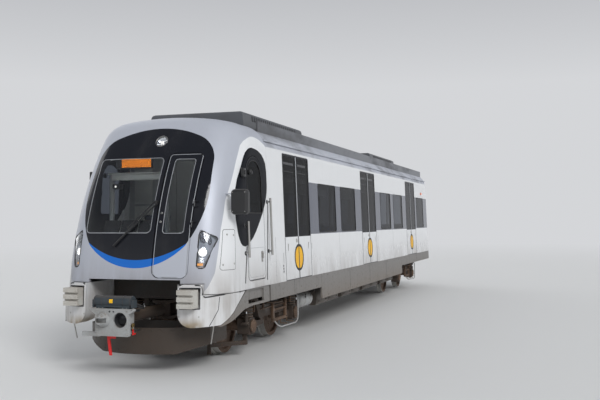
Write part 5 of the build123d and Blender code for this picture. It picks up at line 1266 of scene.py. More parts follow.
def driver_seat():
    """Padded seat, back and headrest on a suspension pedestal."""
    low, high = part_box("driver_seat")
    x, y = (low[0] + high[0]) / 2, (low[1] + high[1]) / 2
    width = high[1] - low[1]
    back_x = low[0] + 0.075
    seat = crowned((x + 0.02, y, SEAT_TOP - 0.055), (0.46, width - 0.02, 0.11), AXES, "driver_seat_cushion")
    lean = Vector((-0.10, 0, 0.995)).normalized()
    face = Vector((0.995, 0, 0.10)).normalized()
    back = crowned((back_x, y, (SEAT_TOP + high[2]) / 2 - 0.01), (0.50, width - 0.03, 0.10),
                   (lean, LEFT, face), "driver_seat_back")
    base = new_piece("driver_seat_base", "black")
    # Half sizes, bottom, top and edge radius of the blocks of the base
    blocks = [(0.20, 0.19, SEAT_TOP - 0.155, SEAT_TOP - 0.112, 0.012),
              (0.23, 0.20, low[2], low[2] + 0.06, 0.010),
              (0.13, 0.12, low[2] + 0.05, 1.21, 0.010)]
    blocks += [(0.16, 0.15, 1.20 + 0.05 * k, 1.242 + 0.05 * k, 0.014) for k in range(5)]
    for half_x, half_y, bottom, top, edge in blocks:
        base.span((x + 0.01 - half_x, y - half_y, bottom), (x + 0.01 + half_x, y + half_y, top), edge)
    base.rod((back_x - 0.06, y, SEAT_TOP - 0.13), (back_x - 0.055, y, high[2] - 0.12), 0.018)
    for piece in (seat, back):
        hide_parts("driver_seat")


# Coupler and bumper

COUPLER_X = 8.800
COUPLER_Z = 0.780
CUP_Y = 0.122
# Places of the air cocks across and up, with the radius of their pipes
COCKS = [(0.190, 0.905, 0.013), (0.224, 0.888, 0.009), (0.190, 0.640, 0.015), (-0.190, 0.905, 0.013)]
COVER_AT = Vector((8.722, 0, 1.018))
PLATE_HALF = 0.026


def coupler_face():
    """Rings, a dark cup lining and bars as painted shade in its recess, bolts and air ports on the coupler's
    face.
    """
    rings = new_piece("coupler_face_rings", "coupler", "coupler")
    for y, radius in ((CUP_Y, 0.108), (-CUP_Y, 0.112)):
        path = oval((COUPLER_X, y, COUPLER_Z), LEFT, UP, radius, radius, 36)
        kept = [p for p in path if p.z > 0.575]
        rings.bead(kept, [AHEAD] * len(kept), 0.014, 0.004, closed=len(kept) == len(path))
    # Dark lining and bars inside the cup: painted shade of the recess
    cup = new_piece("coupler_cup_painted_shade", "line", "coupler")
    cup.lathe((8.672, CUP_Y, COUPLER_Z), AHEAD, [(0, 0.096), (0.100, 0.0965), (0.100, 0.0945), (0.012, 0.092),
                                                 (0.014, 0.060), (0.020, 0.052), (0.018, 0.006)], 32)
    for k in range(5):
        cup.block((8.700, CUP_Y, 0.728 + 0.012 * k), (0.040, 0.125 - 0.006 * abs(k - 2), 0.005), 0.001)
    bolts = new_piece("coupler_face_bolts", "steel", "coupler")
    for y in (-0.222, 0.222):
        for z in (0.600, 0.660, 0.740, 0.820, 0.890):
            bolts.bolt((COUPLER_X, y, z), AHEAD, 0.009, 0.010)
    for y in (-0.290, 0.290):
        bolts.bolt((8.792, y, 0.913), AHEAD, 0.008, 0.008)
    ports = new_piece("coupler_air_ports", "line", "coupler")
    ports.lathe((COUPLER_X, -0.029, 0.889), AHEAD, [(-0.001, 0.0135), (0.002, 0.0135), (0.003, 0.010),
                                                    (0.001, 0.008), (0.0005, 0.0005)], 18)
    ports.lathe((COUPLER_X, 0.029, 0.889), AHEAD, [(-0.001, 0.010), (0.004, 0.010), (0.007, 0.006)], 16)


def coupler_pipes():
    """Pipes and cocks behind the coupler's face, and the fittings over it."""
    pipes = new_piece("coupler_pipes", "hose", "coupler")
    cocks = new_piece("coupler_cocks", "brass", "coupler")
    for y, z, radius in COCKS:
        turn = math.copysign(1, y)
        pipes.tube([(8.742, y, z), (8.62, y, z), (8.54, turn * 0.178, z - 0.02),
                    (8.40, turn * 0.172, z - 0.03), (8.34, turn * 0.150, z - 0.03)], radius, 12, 0.05)
        cocks.lathe((8.742, y, z), -AHEAD, [(-0.002, 0.022), (0.016, 0.022), (0.018, 0.017),
                                            (0.040, 0.017)], 6)
    for z, radius in ((0.985, 0.013), (0.960, 0.010)):
        pipes.tube([(8.700, 0.262, z), (8.640, 0.285, z - 0.01), (8.50, 0.290, z - 0.05),
                    (8.38, 0.240, z - 0.06), (8.32, 0.160, z - 0.07)], radius, 12, 0.05)
    cocks.block((8.62, 0.205, 0.700), (0.060, 0.035, 0.050), 0.006)
    cocks.rod((8.62, 0.205, 0.675), (8.62, 0.205, 0.618), 0.008)
    handle = new_piece("coupler_cock_handle", "red", "coupler")
    handle.block((8.62, 0.212, 0.610), (0.020, 0.020, 0.070), 0.006)
    handle.block((8.62, 0.226, 0.585), (0.090, 0.012, 0.022), 0.005)
    fittings = new_piece("coupler_fittings", "coupler", "coupler")
    for y in (-0.205, -0.15, 0.15, 0.205):
        fittings.lathe((8.760, y, 0.924), UP, [(0, 0.013), (0.014, 0.013), (0.018, 0.009),
                                               (0.026, 0.009)], 12)
    fittings.span((8.735, -0.120, 0.924), (8.772, 0.120, 0.944), 0.004)
    for y in (-0.312, 0.312):
        fittings.lathe((8.786, y, 0.913), AHEAD, [(-0.010, 0.017), (0.004, 0.017), (0.008, 0.013),
                                                  (0.012, 0.006)], 16)


def round_cover(turn, reach, y):
    """Point at a turn and a reach about the cover's own axis."""
    return COVER_AT + Vector((reach * math.cos(turn), y, reach * math.sin(turn)))


def coupler_cover_details():
    """Straps and a blank plate round the coupler's cover."""
    straps = new_piece("coupler_cover_straps", "line", "coupler", "cover_grey")
    turns = [math.radians(-62 + 6 * k) for k in range(36)]
    rises = [Vector((math.cos(turn), 0, math.sin(turn))) for turn in turns]
    for y in (-0.262, -0.155, 0.155, 0.262):
        straps.bead([round_cover(turn, 0.0725, y) for turn in turns], rises, 0.016, 0.003, closed=False)
    plate = new_piece("coupler_cover_plate", "yellow", "coupler")
    section = [(0.0715, -PLATE_HALF), (0.0732, -PLATE_HALF), (0.0732, PLATE_HALF), (0.0715, PLATE_HALF)]
    plate.rings([[round_cover(math.radians(24 - 5 * k), reach, y - 0.014) for reach, y in section]
                 for k in range(9)])


# Seam between the cab and the bumper, from the front of the corner to the rear of the cab
BUMPER_TOP = [(8.300, 0.710, 1.208), (8.270, 0.830, 1.206), (8.232, 0.962, 1.203), (8.218, 0.988, 1.198),
              (8.200, 1.002, 1.182), (8.176, 1.002, 1.140), (8.168, 1.002, 1.100), (8.192, 1.012, 1.076),
              (8.204, 1.030, 1.058), (8.194, 1.047, 1.044), (8.158, 1.089, 1.048), (8.095, 1.147, 1.058),
              (7.970, 1.224, 1.068), (7.800, 1.262, 1.070), (7.529, 1.275, 1.069), (7.283, 1.274, 1.074),
              (6.830, 1.274, 1.076), (6.300, 1.274, 1.076)]
BUMPER_JOINT = [(8.038, 1.189, 1.038), (8.063, 1.182, 0.872), (8.166, 1.095, 0.661)]
BUMPER_RECESS = box_outline(0.7285, 0.9915, 0.889, 1.169)
ANTI_CLIMBER_X = 8.4395


def bumper_lines():
    """Dark frames round the anti-climber recesses, and the seams of the bumper corners."""
    lines = new_piece("bumper_recess_frames", "line")
    seams = new_piece("bumper_seams", "black")
    for side in SIDES:
        outline = [Vector((side * p.x, p.y)) for p in rounded(BUMPER_RECESS, 0.008, 0.05)]
        spots, rises = trace(on_nose, outline)
        front = max(spot.x for spot in spots)
        kept = [(s, r) for s, r in zip(spots, rises) if s.x > front - 0.12]
        closed = len(kept) == len(spots)
        lines.bead([s for s, r in kept], [r for s, r in kept], 0.010, 0.003, closed)
        for path, width, height in ((BUMPER_JOINT, 0.009, 0.0015), (BUMPER_TOP, 0.020, 0.0025)):
            points = filled([Vector((x, side * y, z)) for x, y, z in path], 0.03, closed=False)
            seams.bead(*nearest_on_nose(points), width, height, closed=False)


def bumper_fixings():
    """Guard rods under the corners, fasteners round the recesses and bolts of the anti-climbers."""
    rods = new_piece("bumper_guard_rods", "steel")
    fasteners = new_piece("bumper_fasteners", "steel")
    studs = new_piece("anti_climber_bolts", "casting")
    for side in SIDES:
        rods.tube([(8.010, side * 1.085, 0.690), (8.000, side * 1.080, 0.600), (7.990, side * 1.040, 0.400)],
                  0.009, 12, 0.03)
        rods.block((8.008, side * 1.085, 0.668), (0.050, 0.040, 0.012), 0.003)
        for y, z in ((0.715, 1.190), (1.0, 1.190), (0.72, 0.79), (0.98, 0.79)):
            fasteners.lathe(*on_nose(side * y, z), [(-0.002, 0.011), (0.003, 0.011), (0.005, 0.007)], 14)
        for z in (0.945, 1.029, 1.113):
            for y in (0.775, 0.945):
                studs.bolt((ANTI_CLIMBER_X, side * y, z), AHEAD, 0.008, 0.007)


# Sides

CAB_WINDOW = box_outline(6.530, 7.110, 2.173, 2.948)
CAB_DOOR_PANEL = box_outline(6.505, 7.135, 1.235, 1.66)
CAB_DOOR = box_outline(6.470, 7.170, 1.198, 3.008)
CAB_HATCH = [(7.655, 1.39), (7.965, 1.39), (7.832, 1.94), (7.612, 1.94)]
CAB_LINES = [[(7.197, 1.693), (7.31, 1.168)], [(6.28, 2.328), (6.413, 1.16)]]
SALOON_WINDOWS = [(0.830, 2.015), (2.395, 3.580), (-4.420, -3.235), (-2.855, -1.670), (-7.790, -6.640)]
PANEL_SEAM_XS = (2.205, -1.28, -3.045, -6.45, 5.99)


def cab_door_trim(side):
    """Window seal, panel line, edge seal and handle of one cab door."""
    word = SIDES[side]
    door = f"cab_door_{word}"
    for name, outline, corners, width, height, material, slot in (
            (f"cab_window_seal_{word}", CAB_WINDOW, [0.03, 0.03, 0.262, 0.262], 0.014, 0.004, "seal", None),
            (f"cab_door_panel_line_{word}", CAB_DOOR_PANEL, [0.10, 0.10, 0.02, 0.02], 0.005, 0.0012, "lip",
             "white_paint"),
            (f"cab_door_edge_seal_{word}", CAB_DOOR, [0.05, 0.05, 0.336, 0.336], 0.007, 0.002, "line", None)):
        strip = new_piece(name, material, door, slot)
        strip.line(on_side, rounded(outline, corners, 0.08), width, height, side=side)
    handle = new_piece(f"cab_door_handle_{word}", "steel", door)
    spot, normal = on_side(6.60, 1.52, side)
    handle.block(spot, (0.075, 0.006, 0.17), 0.003)
    handle.block(spot + normal * 0.018 + UP * 0.02, (0.022, 0.012, 0.095), 0.005)
    handle.rod(spot + UP * 0.058, spot + normal * 0.02 + UP * 0.058, 0.008)
    handle.lathe(spot - UP * 0.058, normal, [(0, 0.014), (0.006, 0.014), (0.008, 0.008)], 16)


def cab_side_trim(side):
    """Hatch with its locks, dark lines, camera, marker lamp and handrail flanges on one side of the cab."""
    word = SIDES[side]
    lines = new_piece(f"cab_side_lines_{word}", "border")
    lines.line(on_side, rounded(CAB_HATCH, 0.035, 0.04), 0.006, 0.0012, side=side)
    for ends in CAB_LINES:
        points = filled([Vector(end) for end in ends], 0.08, closed=False)
        lines.line(on_side, points, 0.030, 0.0020, closed=False, side=side)
    locks = new_piece(f"hatch_locks_{word}", "steel")
    for x, z in ((7.781, 1.871), (7.907, 1.461), (7.685, 1.47), (7.655, 1.86)):
        locks.lathe(*on_side(x, z, side), [(-0.002, 0.014), (0.002, 0.014), (0.0035, 0.010),
                                           (0.002, 0.004)], 16)
    camera = new_piece(f"side_camera_{word}", "black")
    spot, normal = on_side(7.285, 2.749, side)
    across = UP.cross(normal).normalized()
    camera.block(spot + normal * 0.022, (0.045, 0.115, 0.125), 0.012, (normal, across, normal.cross(across)))
    camera.lathe(spot + normal * 0.044, normal, [(-0.004, 0.034), (0.008, 0.034), (0.012, 0.028),
                                                 (0.008, 0.024), (0.010, 0.004)], 20)
    camera.lathe(*on_side(6.98, 2.772, side), [(-0.004, 0.040), (0.020, 0.038), (0.034, 0.026),
                                               (0.040, 0.008)], 20)
    flanges = new_piece(f"handrail_flanges_{word}", "line")
    for x, z in ((7.268, 1.594), (7.268, 1.990), (6.320, 1.594), (6.320, 2.348)):
        spot, normal = on_side(x, z, side)
        flanges.lathe(spot, normal, [(-0.002, 0.030), (0.005, 0.030), (0.008, 0.026), (0.009, 0.018)], 20)
        for rise in (-0.022, 0.022):
            flanges.bolt(spot + normal * 0.006 + UP * rise, normal, 0.0035, 0.004)


DISC_Z = 1.435
DISC_RADIUS = 0.225
DISC_BORDER = 0.042
# Half width of the finger seals, over which the discs are cut in two
DISC_GAP = 0.020
SEAL_TOP_Z = 3.14
LEAF_LEAN = 0.038


def half_disc(shape, x, side, half, low, high, proud):
    """Half of a flat ring on one door leaf."""
    normal = Vector((0, side, LEAF_LEAN)).normalized()
    section = ((low, -0.001), (low, proud), (high, proud), (high, -0.001))
    rows = []
    for k in range(25):
        turn = math.radians(-90 + 180 * k / 24)
        row = []
        for radius, lift in section:
            place_x = x + half * (max(radius, 0.001) * math.cos(turn) + DISC_GAP)
            place_z = DISC_Z + max(radius, 0.001) * math.sin(turn)
            face, _ = from_side(LEAF_TREE, x + half * 0.05, place_z, side)
            row.append(Vector((place_x, face.y, place_z)) + normal * lift)
        rows.append(row)
    shape.rings(rows)


def saloon_doors(side):
    """Frames, finger seals, yellow discs, buttons, grips and sills of the doors on one side."""
    word = SIDES[side]
    frames = new_piece(f"saloon_door_frames_{word}", "line")
    fingers = new_piece(f"saloon_door_finger_seals_{word}", "line")
    # The upper finger seals are pale as a painted highlight
    painted_highlight_fingers = new_piece(f"saloon_door_glass_seals_{word}", "lip")
    discs = new_piece(f"saloon_door_discs_{word}", "yellow")
    borders = new_piece(f"saloon_door_disc_borders_{word}", "border")
    grips = new_piece(f"saloon_door_grips_{word}", "steel")
    buttons = new_piece(f"saloon_door_buttons_{word}", "steel")
    normal = Vector((0, side, LEAF_LEAN)).normalized()
    sill_y = side * (side_y(FLOOR_Z) - 0.02)
    for x in DOOR_XS:
        outline = box_outline(x - DOOR_HALF - 0.004, x + DOOR_HALF + 0.004, 1.082, 3.157)
        outline = rounded(outline, [0.01, 0.01, 0.05, 0.05], 0.15)
        path = [Vector((p.x, side * side_y(p.y), p.y)) for p in outline]
        frames.bead(path, [normal] * len(path), 0.014, 0.003)
        low = Vector((x, from_side(LEAF_TREE, x + 0.03, 1.12, side)[0].y, 1.09))
        high = Vector((x, from_side(LEAF_TREE, x + 0.03, 3.10, side)[0].y, SEAL_TOP_Z))
        middle = low.lerp(high, (DOOR_GLASS_Z - low.z) / (high.z - low.z))
        for shape, start, end, width in ((fingers, low, middle, 0.042), (painted_highlight_fingers, middle, high, 0.046)):
            path = [start.lerp(end, k / 4) for k in range(5)]
            shape.bead(path, [normal] * 5, width, 0.004, closed=False, sunk=0.010)
        for half in (1, -1):
            half_disc(discs, x, side, half, 0.0, DISC_RADIUS - DISC_BORDER, 0.0012)
            half_disc(borders, x, side, half, DISC_RADIUS - DISC_BORDER, DISC_RADIUS, 0.0016)
            spot, _ = from_side(LEAF_TREE, x + half * 0.55, 1.62, side)
            grips.block(spot, (0.030, 0.006, 0.115), 0.003)
        spot, _ = from_side(LEAF_TREE, x + 0.10, 1.72, side)
        buttons.lathe(spot, normal, [(-0.002, 0.036), (0.004, 0.036), (0.006, 0.030), (0.006, 0.024),
                                     (0.011, 0.022)], 24)
        grips.span((x - DOOR_HALF, sill_y - 0.012, 1.058), (x + DOOR_HALF, sill_y + 0.012, 1.0765), 0.003)


def saloon_side(side):
    """Window seals, marks, panel seams and side lamp along one side."""
    word = SIDES[side]
    seals = new_piece(f"saloon_window_seals_{word}", "seal")
    for low, high in SALOON_WINDOWS:
        outline = rounded(box_outline(low + 0.004, high - 0.004, 1.842, 2.739), 0.05, 0.12)
        seals.line(on_side, outline, 0.013, 0.004, side=side)
    marks = new_piece(f"side_marks_{word}", "line")
    for z in (1.331, 1.285, 1.238):
        marks.lathe(*on_side(5.645, z, side), [(-0.002, 0.020), (0.002, 0.020), (0.004, 0.015)], 16)
    for x, low, high in ((5.625, 1.36, 1.54), (4.080, 1.56, 1.66)):
        marks.line(on_side, upright(x, low, high, 0.05), 0.012, 0.0012, closed=False, side=side)
    for x in PANEL_SEAM_XS:
        marks.line(on_side, upright(x, 1.09, 1.80, 0.08), 0.005, 0.0008, closed=False, side=side)
    lamps = new_piece(f"side_lamps_{word}", "orange")
    bases = new_piece(f"side_lamp_bases_{word}", "black")
    spot, normal = on_side(-7.505, 2.877, side)
    bases.lathe(spot, normal, [(-0.002, 0.046), (0.006, 0.046), (0.009, 0.040)], 24)
    lamps.lathe(spot, normal, [(0.006, 0.038), (0.018, 0.034), (0.026, 0.022), (0.029, 0.006)], 24)


MIRROR_BACK_X = 7.688
MIRROR_FRONT_X = 7.792


def mirror_details():
    """Glass, rim and housing screws of the folding mirror."""
    glass_face = new_piece("mirror_glass_left", "mirror", "mirror_left")
    rim = new_piece("mirror_rim_left", "seal", "mirror_left")
    screws = new_piece("mirror_screws_left", "steel", "mirror_left")
    outline = rounded(box_outline(1.256, 1.474, 2.160, 2.476), 0.030, 0.2)
    rim.bead([Vector((MIRROR_BACK_X, p.x, p.y)) for p in outline], [-AHEAD] * len(outline), 0.014, 0.004)
    inner = shrunk(outline, 0.004)
    glass_face.rings([[Vector((x, p.x, p.y)) for p in inner] for x in (MIRROR_BACK_X + 0.001,
                                                                       MIRROR_BACK_X - 0.0022)])
    for y in (1.275, 1.455):
        for z in (2.185, 2.450):
            screws.lathe((MIRROR_FRONT_X, y, z), AHEAD, [(-0.001, 0.007), (0.0008, 0.006),
                                                         (0.001, 0.002)], 12)


# Bogies

BOLT_CIRCLE = 0.22
RIM_CIRCLE = 0.388
WHEEL_RADIUS = 0.425
SPRING_LEAF = [(-0.005, 0.1005), (-0.004, 0.107), (0.004, 0.107), (0.005, 0.1005)]
AIR_SPRING_LEAF = [(-0.008, 0.2155), (-0.006, 0.223), (0.006, 0.223), (0.008, 0.2155)]
AXLEBOX_COVER = [(-0.010, 0.104), (0.004, 0.104), (0.010, 0.098), (0.010, 0.060), (0.018, 0.052),
                 (0.018, 0.004)]
BRAKE_CYLINDER = [(0, 0.055), (0.05, 0.060), (0.055, 0.082), (0.130, 0.082), (0.138, 0.070)]
# Steel pipe round the rear axlebox: distances from the bogie's middle, from the car's middle and up
GUARD_PIPE = [(-0.891, 0.980, 0.790), (-0.891, 1.130, 0.780), (-0.901, 1.130, 0.362), (-0.790, 1.130, 0.306),
              (-0.060, 1.110, 0.315), (-0.011, 1.080, 0.340), (-0.011, 1.000, 0.430)]
# Brackets of a bogie: the same three distances, their size and their edge radius
BRACKETS = [
    (-0.56, 1.008, 0.580, (0.055, 0.045, 0.310), 0.006),
    (0.045, 1.008, 0.580, (0.055, 0.045, 0.310), 0.006),
    (-0.2575, 1.008, 0.428, (0.660, 0.045, 0.048), 0.006),
    (-0.2575, 1.006, 0.590, (0.560, 0.018, 0.036), 0.004),
]
BRACKETS += [(x, 0.992, 0.720, (0.030, 0.030, 0.150), 0.005) for x in (-0.86, 0.45, 0.86)]
BRACKETS += [(x, 1.075, 0.345, (0.022, 0.125, 0.014), 0.003) for x in (-0.62, -0.30)]
BRACKETS += [(x, 1.018, 0.385, (0.022, 0.014, 0.080), 0.003) for x in (-0.62, -0.30)]
# Springs, covers, bolts, brackets and pipes take the lighter bogie paint as a painted highlight
BOGIE_FINISH = {
    "spring_leaves": "bogie_painted_highlight", "axlebox_covers": "bogie_painted_highlight", "bogie_bolts": "bogie_painted_highlight",
    "dampers": "bogie", "damper_rods": "chrome", "brake_units": "bogie", "bogie_brackets": "bogie_painted_highlight",
    "bogie_conduits": "tank", "bogie_pipes": "bogie_painted_highlight",
}


def wheel_details(number, x):
    """Web bolts and rim rings of one wheelset."""
    tree = skin(f"wheelset_{number}")
    # Web bolts and rim rings take the lighter bogie paint as a painted highlight
    bolts = new_piece(f"wheelset_{number}_bolts", "bogie_painted_highlight", f"wheelset_{number}", "wheel_steel")
    rims = new_piece(f"wheelset_{number}_rim_rings", "bogie_painted_highlight", f"wheelset_{number}", "wheel_steel")
    for side in SIDES:
        y = from_side(tree, x + BOLT_CIRCLE, AXLE_Z, side)[0].y
        for spot in oval((x, y, AXLE_Z), AHEAD, UP, BOLT_CIRCLE, BOLT_CIRCLE, 10):
            bolts.bolt(spot, (0, side, 0), 0.011, 0.014)
        y = from_side(tree, x + 0.375, AXLE_Z, side)[0].y
        path = oval((x, y, AXLE_Z), AHEAD, UP, RIM_CIRCLE, RIM_CIRCLE, 48)
        rims.bead(path, [LEFT * side] * len(path), 0.010, 0.003)


def axle_end(parts, tree, x, end, side):
    """Spring leaves, axlebox cover, damper and brake unit at one wheel."""
    out = LEFT * side
    for k in range(6):
        parts["spring_leaves"].lathe((x, side * BEAM_Y, 0.600 + 0.040 * k), UP, SPRING_LEAF, 28)
    face_y = from_side(tree, x, AXLE_Z, side)[0].y
    parts["axlebox_covers"].lathe((x, face_y, AXLE_Z), out, AXLEBOX_COVER, 30)
    for k in range(8):
        turn = 2 * math.pi * (k + 0.5) / 8
        spot = (x + 0.082 * math.cos(turn), face_y + side * 0.010, AXLE_Z + 0.082 * math.sin(turn))
        parts["bogie_bolts"].bolt(spot, out, 0.009, 0.010)
    dampers = parts["dampers"]
    damper_x = x + end * 0.165
    y = side * 1.000
    dampers.lathe((damper_x, y, 0.520), UP, [(0, 0.020), (0.004, 0.026), (0.130, 0.026), (0.134, 0.020)], 18)
    dampers.lathe((damper_x, y, 0.690), UP, [(0, 0.030), (0.004, 0.034), (0.120, 0.034), (0.128, 0.026)], 18)
    parts["damper_rods"].rod((damper_x, y, 0.640), (damper_x, y, 0.700), 0.011)
    for z in (0.505, 0.835):
        dampers.block((damper_x, side * 0.965, z), (0.060, 0.110, 0.036), 0.006)
        dampers.lathe((damper_x, side * 1.005, z), out, [(0, 0.022), (0.030, 0.022), (0.036, 0.014)], 14)
    brakes = parts["brake_units"]
    shoe_x = x - end * (WHEEL_RADIUS + 0.046)
    brakes.block((shoe_x, side * 0.555, 0.455), (0.050, 0.110, 0.230), 0.012)
    brakes.lathe((shoe_x - end * 0.020, side * 0.555, 0.480), (-end, 0, 0), BRAKE_CYLINDER, 22)
    brakes.block((shoe_x - end * 0.09, side * 0.575, 0.560), (0.080, 0.060, 0.120), 0.010)


def bogie_details(word, middle):
    """Spring leaves, covers, dampers, brakes, brackets and pipes of one bogie."""
    beam_tree = skin(f"{word}_bogie_frame")
    box_tree = skin(f"{word}_axleboxes")
    parts = {}
    for name, material in BOGIE_FINISH.items():
        slot = "rail_steel" if material == "chrome" else None
        parts[name] = new_piece(f"{word}_{name}", material, f"{word}_bogie", slot)
    for side in SIDES:
        for end in (1, -1):
            axle_end(parts, box_tree, middle + end * WHEELBASE / 2, end, side)
        for z in (0.735, 0.930):
            parts["spring_leaves"].lathe((middle, side * BEAM_Y, z), UP, AIR_SPRING_LEAF, 36)
        for x in (-0.56, 0.045):
            for z in (0.700, 0.460):
                parts["bogie_bolts"].bolt((middle + x, side * 1.030, z), LEFT * side, 0.011, 0.012)
        for x, y, z, size, edge in BRACKETS:
            parts["bogie_brackets"].block((middle + x, side * y, z), size, edge)
        parts["bogie_conduits"].tube([(middle + x, side * y, z) for x, y, z in GUARD_PIPE], 0.012, 12, 0.06)
        path = []
        for k in range(13):
            x = middle - 1.15 + 2.30 * k / 12
            spot, _ = from_side(beam_tree, x, 0.66, side)
            if spot is not None:
                path.append((x, spot.y + side * 0.012, 0.66))
        parts["bogie_pipes"].tube(path, 0.010, 10)


# Underframe

CASE_XS = [-3.740, -1.915, -0.090, 1.735]
CASE_LENGTH = 1.545
CASE_DOOR_Y = 1.083
PIPE_Y = 1.150
TANK_AT = Vector((0, 0.95, 0.618))
# Bottom edges of the skirts: short by the bogies and deep between them
SHORT_SKIRT_Z = 0.833
DEEP_SKIRT_Z = 0.623
SKIRT_TOP_Z = 1.072
SHORT_LOCK_XS = [-7.9, -7.0, -4.5, 3.9, 5.9]
DEEP_LOCK_XS = [-3.6, -2.2, -1.9, -0.45, -0.15, 1.35, 1.65, 3.15]
SHORT_SEAM_XS = [-7.45, -6.30, -5.15, 5.135]
DEEP_SEAM_XS = [-2.05, -0.30, 1.50]


def case_details():
    """Doors, latches and floor ribs of the equipment cases."""
    doors = new_piece("case_doors", "case")
    latches = new_piece("case_latches", "case")
    ribs = new_piece("case_floor_ribs", "case")
    for side in SIDES:
        for x in CASE_XS:
            for k in range(2):
                low = x + 0.05 + k * (CASE_LENGTH / 2 - 0.01)
                high = low + CASE_LENGTH / 2 - 0.09
                y = side * CASE_DOOR_Y
                doors.span((low, y - 0.006, 0.490), (high, y + 0.006, 0.950), 0.004)
                for latch_x in (low + 0.10, high - 0.10):
                    latches.block((latch_x, side * 1.092, 0.530), (0.060, 0.012, 0.026), 0.004)
                    latches.rod((latch_x, side * 1.088, 0.530), (latch_x, side * 1.104, 0.530), 0.007)
            for k in range(7):
                rib_x = x + 0.12 + k * (CASE_LENGTH - 0.24) / 6
                ribs.block((rib_x, side * 0.55, 0.4575), (0.030, 0.90, 0.012), 0.003)


def pipe_runs():
    """Pipes along the car with their clamps, and the straps and drain of the air tank."""
    pipes = new_piece("underframe_pipes", "tank")
    clamps = new_piece("underframe_pipe_clamps", "under")
    straps = new_piece("air_tank_straps", "under")
    for side in SIDES:
        for k, radius in enumerate((0.017, 0.013, 0.010)):
            z = 0.905 - 0.05 * k
            pipes.tube([(-3.98, side * PIPE_Y, z), (3.40, side * PIPE_Y, z)], radius, 12)
        for k in range(9):
            x = -3.6 + 0.85 * k
            clamps.block((x, side * 1.160, 0.855), (0.024, 0.050, 0.165), 0.004)
            clamps.block((x, side * 1.160, 0.955), (0.024, 0.024, 0.060), 0.003)
    rises = oval((0, 0, 0), LEFT, UP, 1.0, 1.0, 32)
    for x in (3.62, 3.94):
        straps.bead([TANK_AT + AHEAD * x + rise * 0.136 for rise in rises], rises, 0.030, 0.004)
        straps.rod((x, 1.086, 0.66), (x, 1.086, 0.74), 0.007)
    straps.lathe((3.78, 0.95, 0.484), -UP, [(-0.002, 0.016), (0.010, 0.016), (0.014, 0.010),
                                            (0.030, 0.010)], 12)


def skirt_details():
    """Locks and seams of the side skirts."""
    locks = new_piece("skirt_locks", "skirt")
    seams = new_piece("skirt_seams", "line", slot="skirt_grey")
    for side in SIDES:
        for xs, bottom in ((SHORT_LOCK_XS, SHORT_SKIRT_Z), (DEEP_LOCK_XS, DEEP_SKIRT_Z)):
            for x in xs:
                for z in (bottom + 0.045, 1.035):
                    found, normal = from_side(SKIRT_TREE, x, z, side)
                    if found is not None:
                        locks.lathe(found, normal, [(-0.002, 0.016), (0.002, 0.016), (0.004, 0.012),
                                                    (0.002, 0.004)], 14)
        for xs, bottom in ((SHORT_SEAM_XS, SHORT_SKIRT_Z + 0.006), (DEEP_SEAM_XS, DEEP_SKIRT_Z + 0.006)):
            heights = [bottom + (SKIRT_TOP_Z - bottom) * k / 6 for k in range(7)]
            for x in xs:
                pairs = [from_side(SKIRT_TREE, x, z, side) for z in heights]
                found = [pair for pair in pairs if pair[0] is not None]
                seams.bead([p[0] for p in found], [p[1] for p in found], 0.007, 0.0015, closed=False)


def front_fixings():
    """Rivets of the plough, and two boxes with their pipes on the headstock."""
    rivets = new_piece("plough_rivets", "plough")
    boxes = new_piece("headstock_boxes", "under")
    for k in range(13):
        for z in (0.575, 0.300):
            found, normal = from_front(PLOUGH_TREE, -0.78 + 0.13 * k, z)
            if found is not None and found.x > 7.6:
                rivets.lathe(found, normal, [(-0.002, 0.012), (0.003, 0.012), (0.006, 0.008)], 12)
    for y in (-0.62, 0.62):
        boxes.span((7.558, y - 0.13, 0.70), (7.68, y + 0.13, 0.90), 0.012)
        boxes.span((7.676, y - 0.10, 0.73), (7.690, y + 0.10, 0.87), 0.005)
        for z in (0.75, 0.85):
            boxes.tube([(7.62, y - 0.04, z), (7.62, y - math.copysign(0.25, y), z)], 0.014, 12)


# Roof and rear end

PODS = [(3.240, 6.240), (-5.380, -2.380)]
FAN_OFFSET = 0.78


def fan_details(guards, wells, x, level):
    """Dark disc of painted shade in the well of one roof fan, with its round and straight guard bars."""
    # Flat dark disc at roof level: painted shade standing for the fan's hollow
    wells.lathe((x, 0, level), UP, [(-0.002, 0.37), (0.0004, 0.37), (0.0005, 0.02)], 40)
    for k in range(7):
        radius = 0.075 + 0.049 * k
        guards.bead(oval((x, 0, level), AHEAD, LEFT, radius, radius, 48), [UP] * 48, 0.007, 0.0015)
    for turn in turns_of(8):
        path = [Vector((x + r * math.cos(turn), r * math.sin(turn), level)) for r in (0.05, 0.2, 0.38)]
        guards.bead(path, [UP] * 3, 0.008, 0.0018, closed=False)


def pod_details():
    """Fans, lid seams, louvres and lifting eyes of the roof pods."""
    guards = new_piece("roof_fan_guards", "steel", slot="roof_grey")
    wells = new_piece("roof_fan_well_painted_shade", "line", slot="roof_grey")
    seams = new_piece("roof_pod_louvres", "line", slot="roof_grey")
    eyes = new_piece("roof_lifting_points", "steel")
    for low, high in PODS:
        middle = (low + high) / 2
        level = on_roof(middle, 0.0)[0].z
        for x in (middle - FAN_OFFSET, middle + FAN_OFFSET):
            fan_details(guards, wells, x, level)
        for x in (low + 0.30, middle, high - 0.30):
            points = [Vector((x, y, on_roof(x, y)[0].z)) for y in (-0.70, -0.35, 0.0, 0.35, 0.70)]
            seams.bead(points, [UP] * 5, 0.012, 0.0015, closed=False)
        for x in (low + 0.12, high - 0.12):
            for y in (-0.62, 0.62):
                eyes.lathe(*on_roof(x, y), [(-0.004, 0.030), (0.0012, 0.030), (0.0015, 0.016)], 18)
        for side in SIDES:
            for k in range(22):
                x = low + 0.42 + k * (high - low - 0.84) / 21
                spot, normal = from_side(ROOF_TREE, x, 3.70, side)
                if spot is not None and abs(spot.y) < 0.95:
                    rise = (UP - normal * normal.z).normalized()
                    seams.block(spot + normal * 0.002, (0.055, 0.008, 0.085), 0.003, (AHEAD, normal, rise))


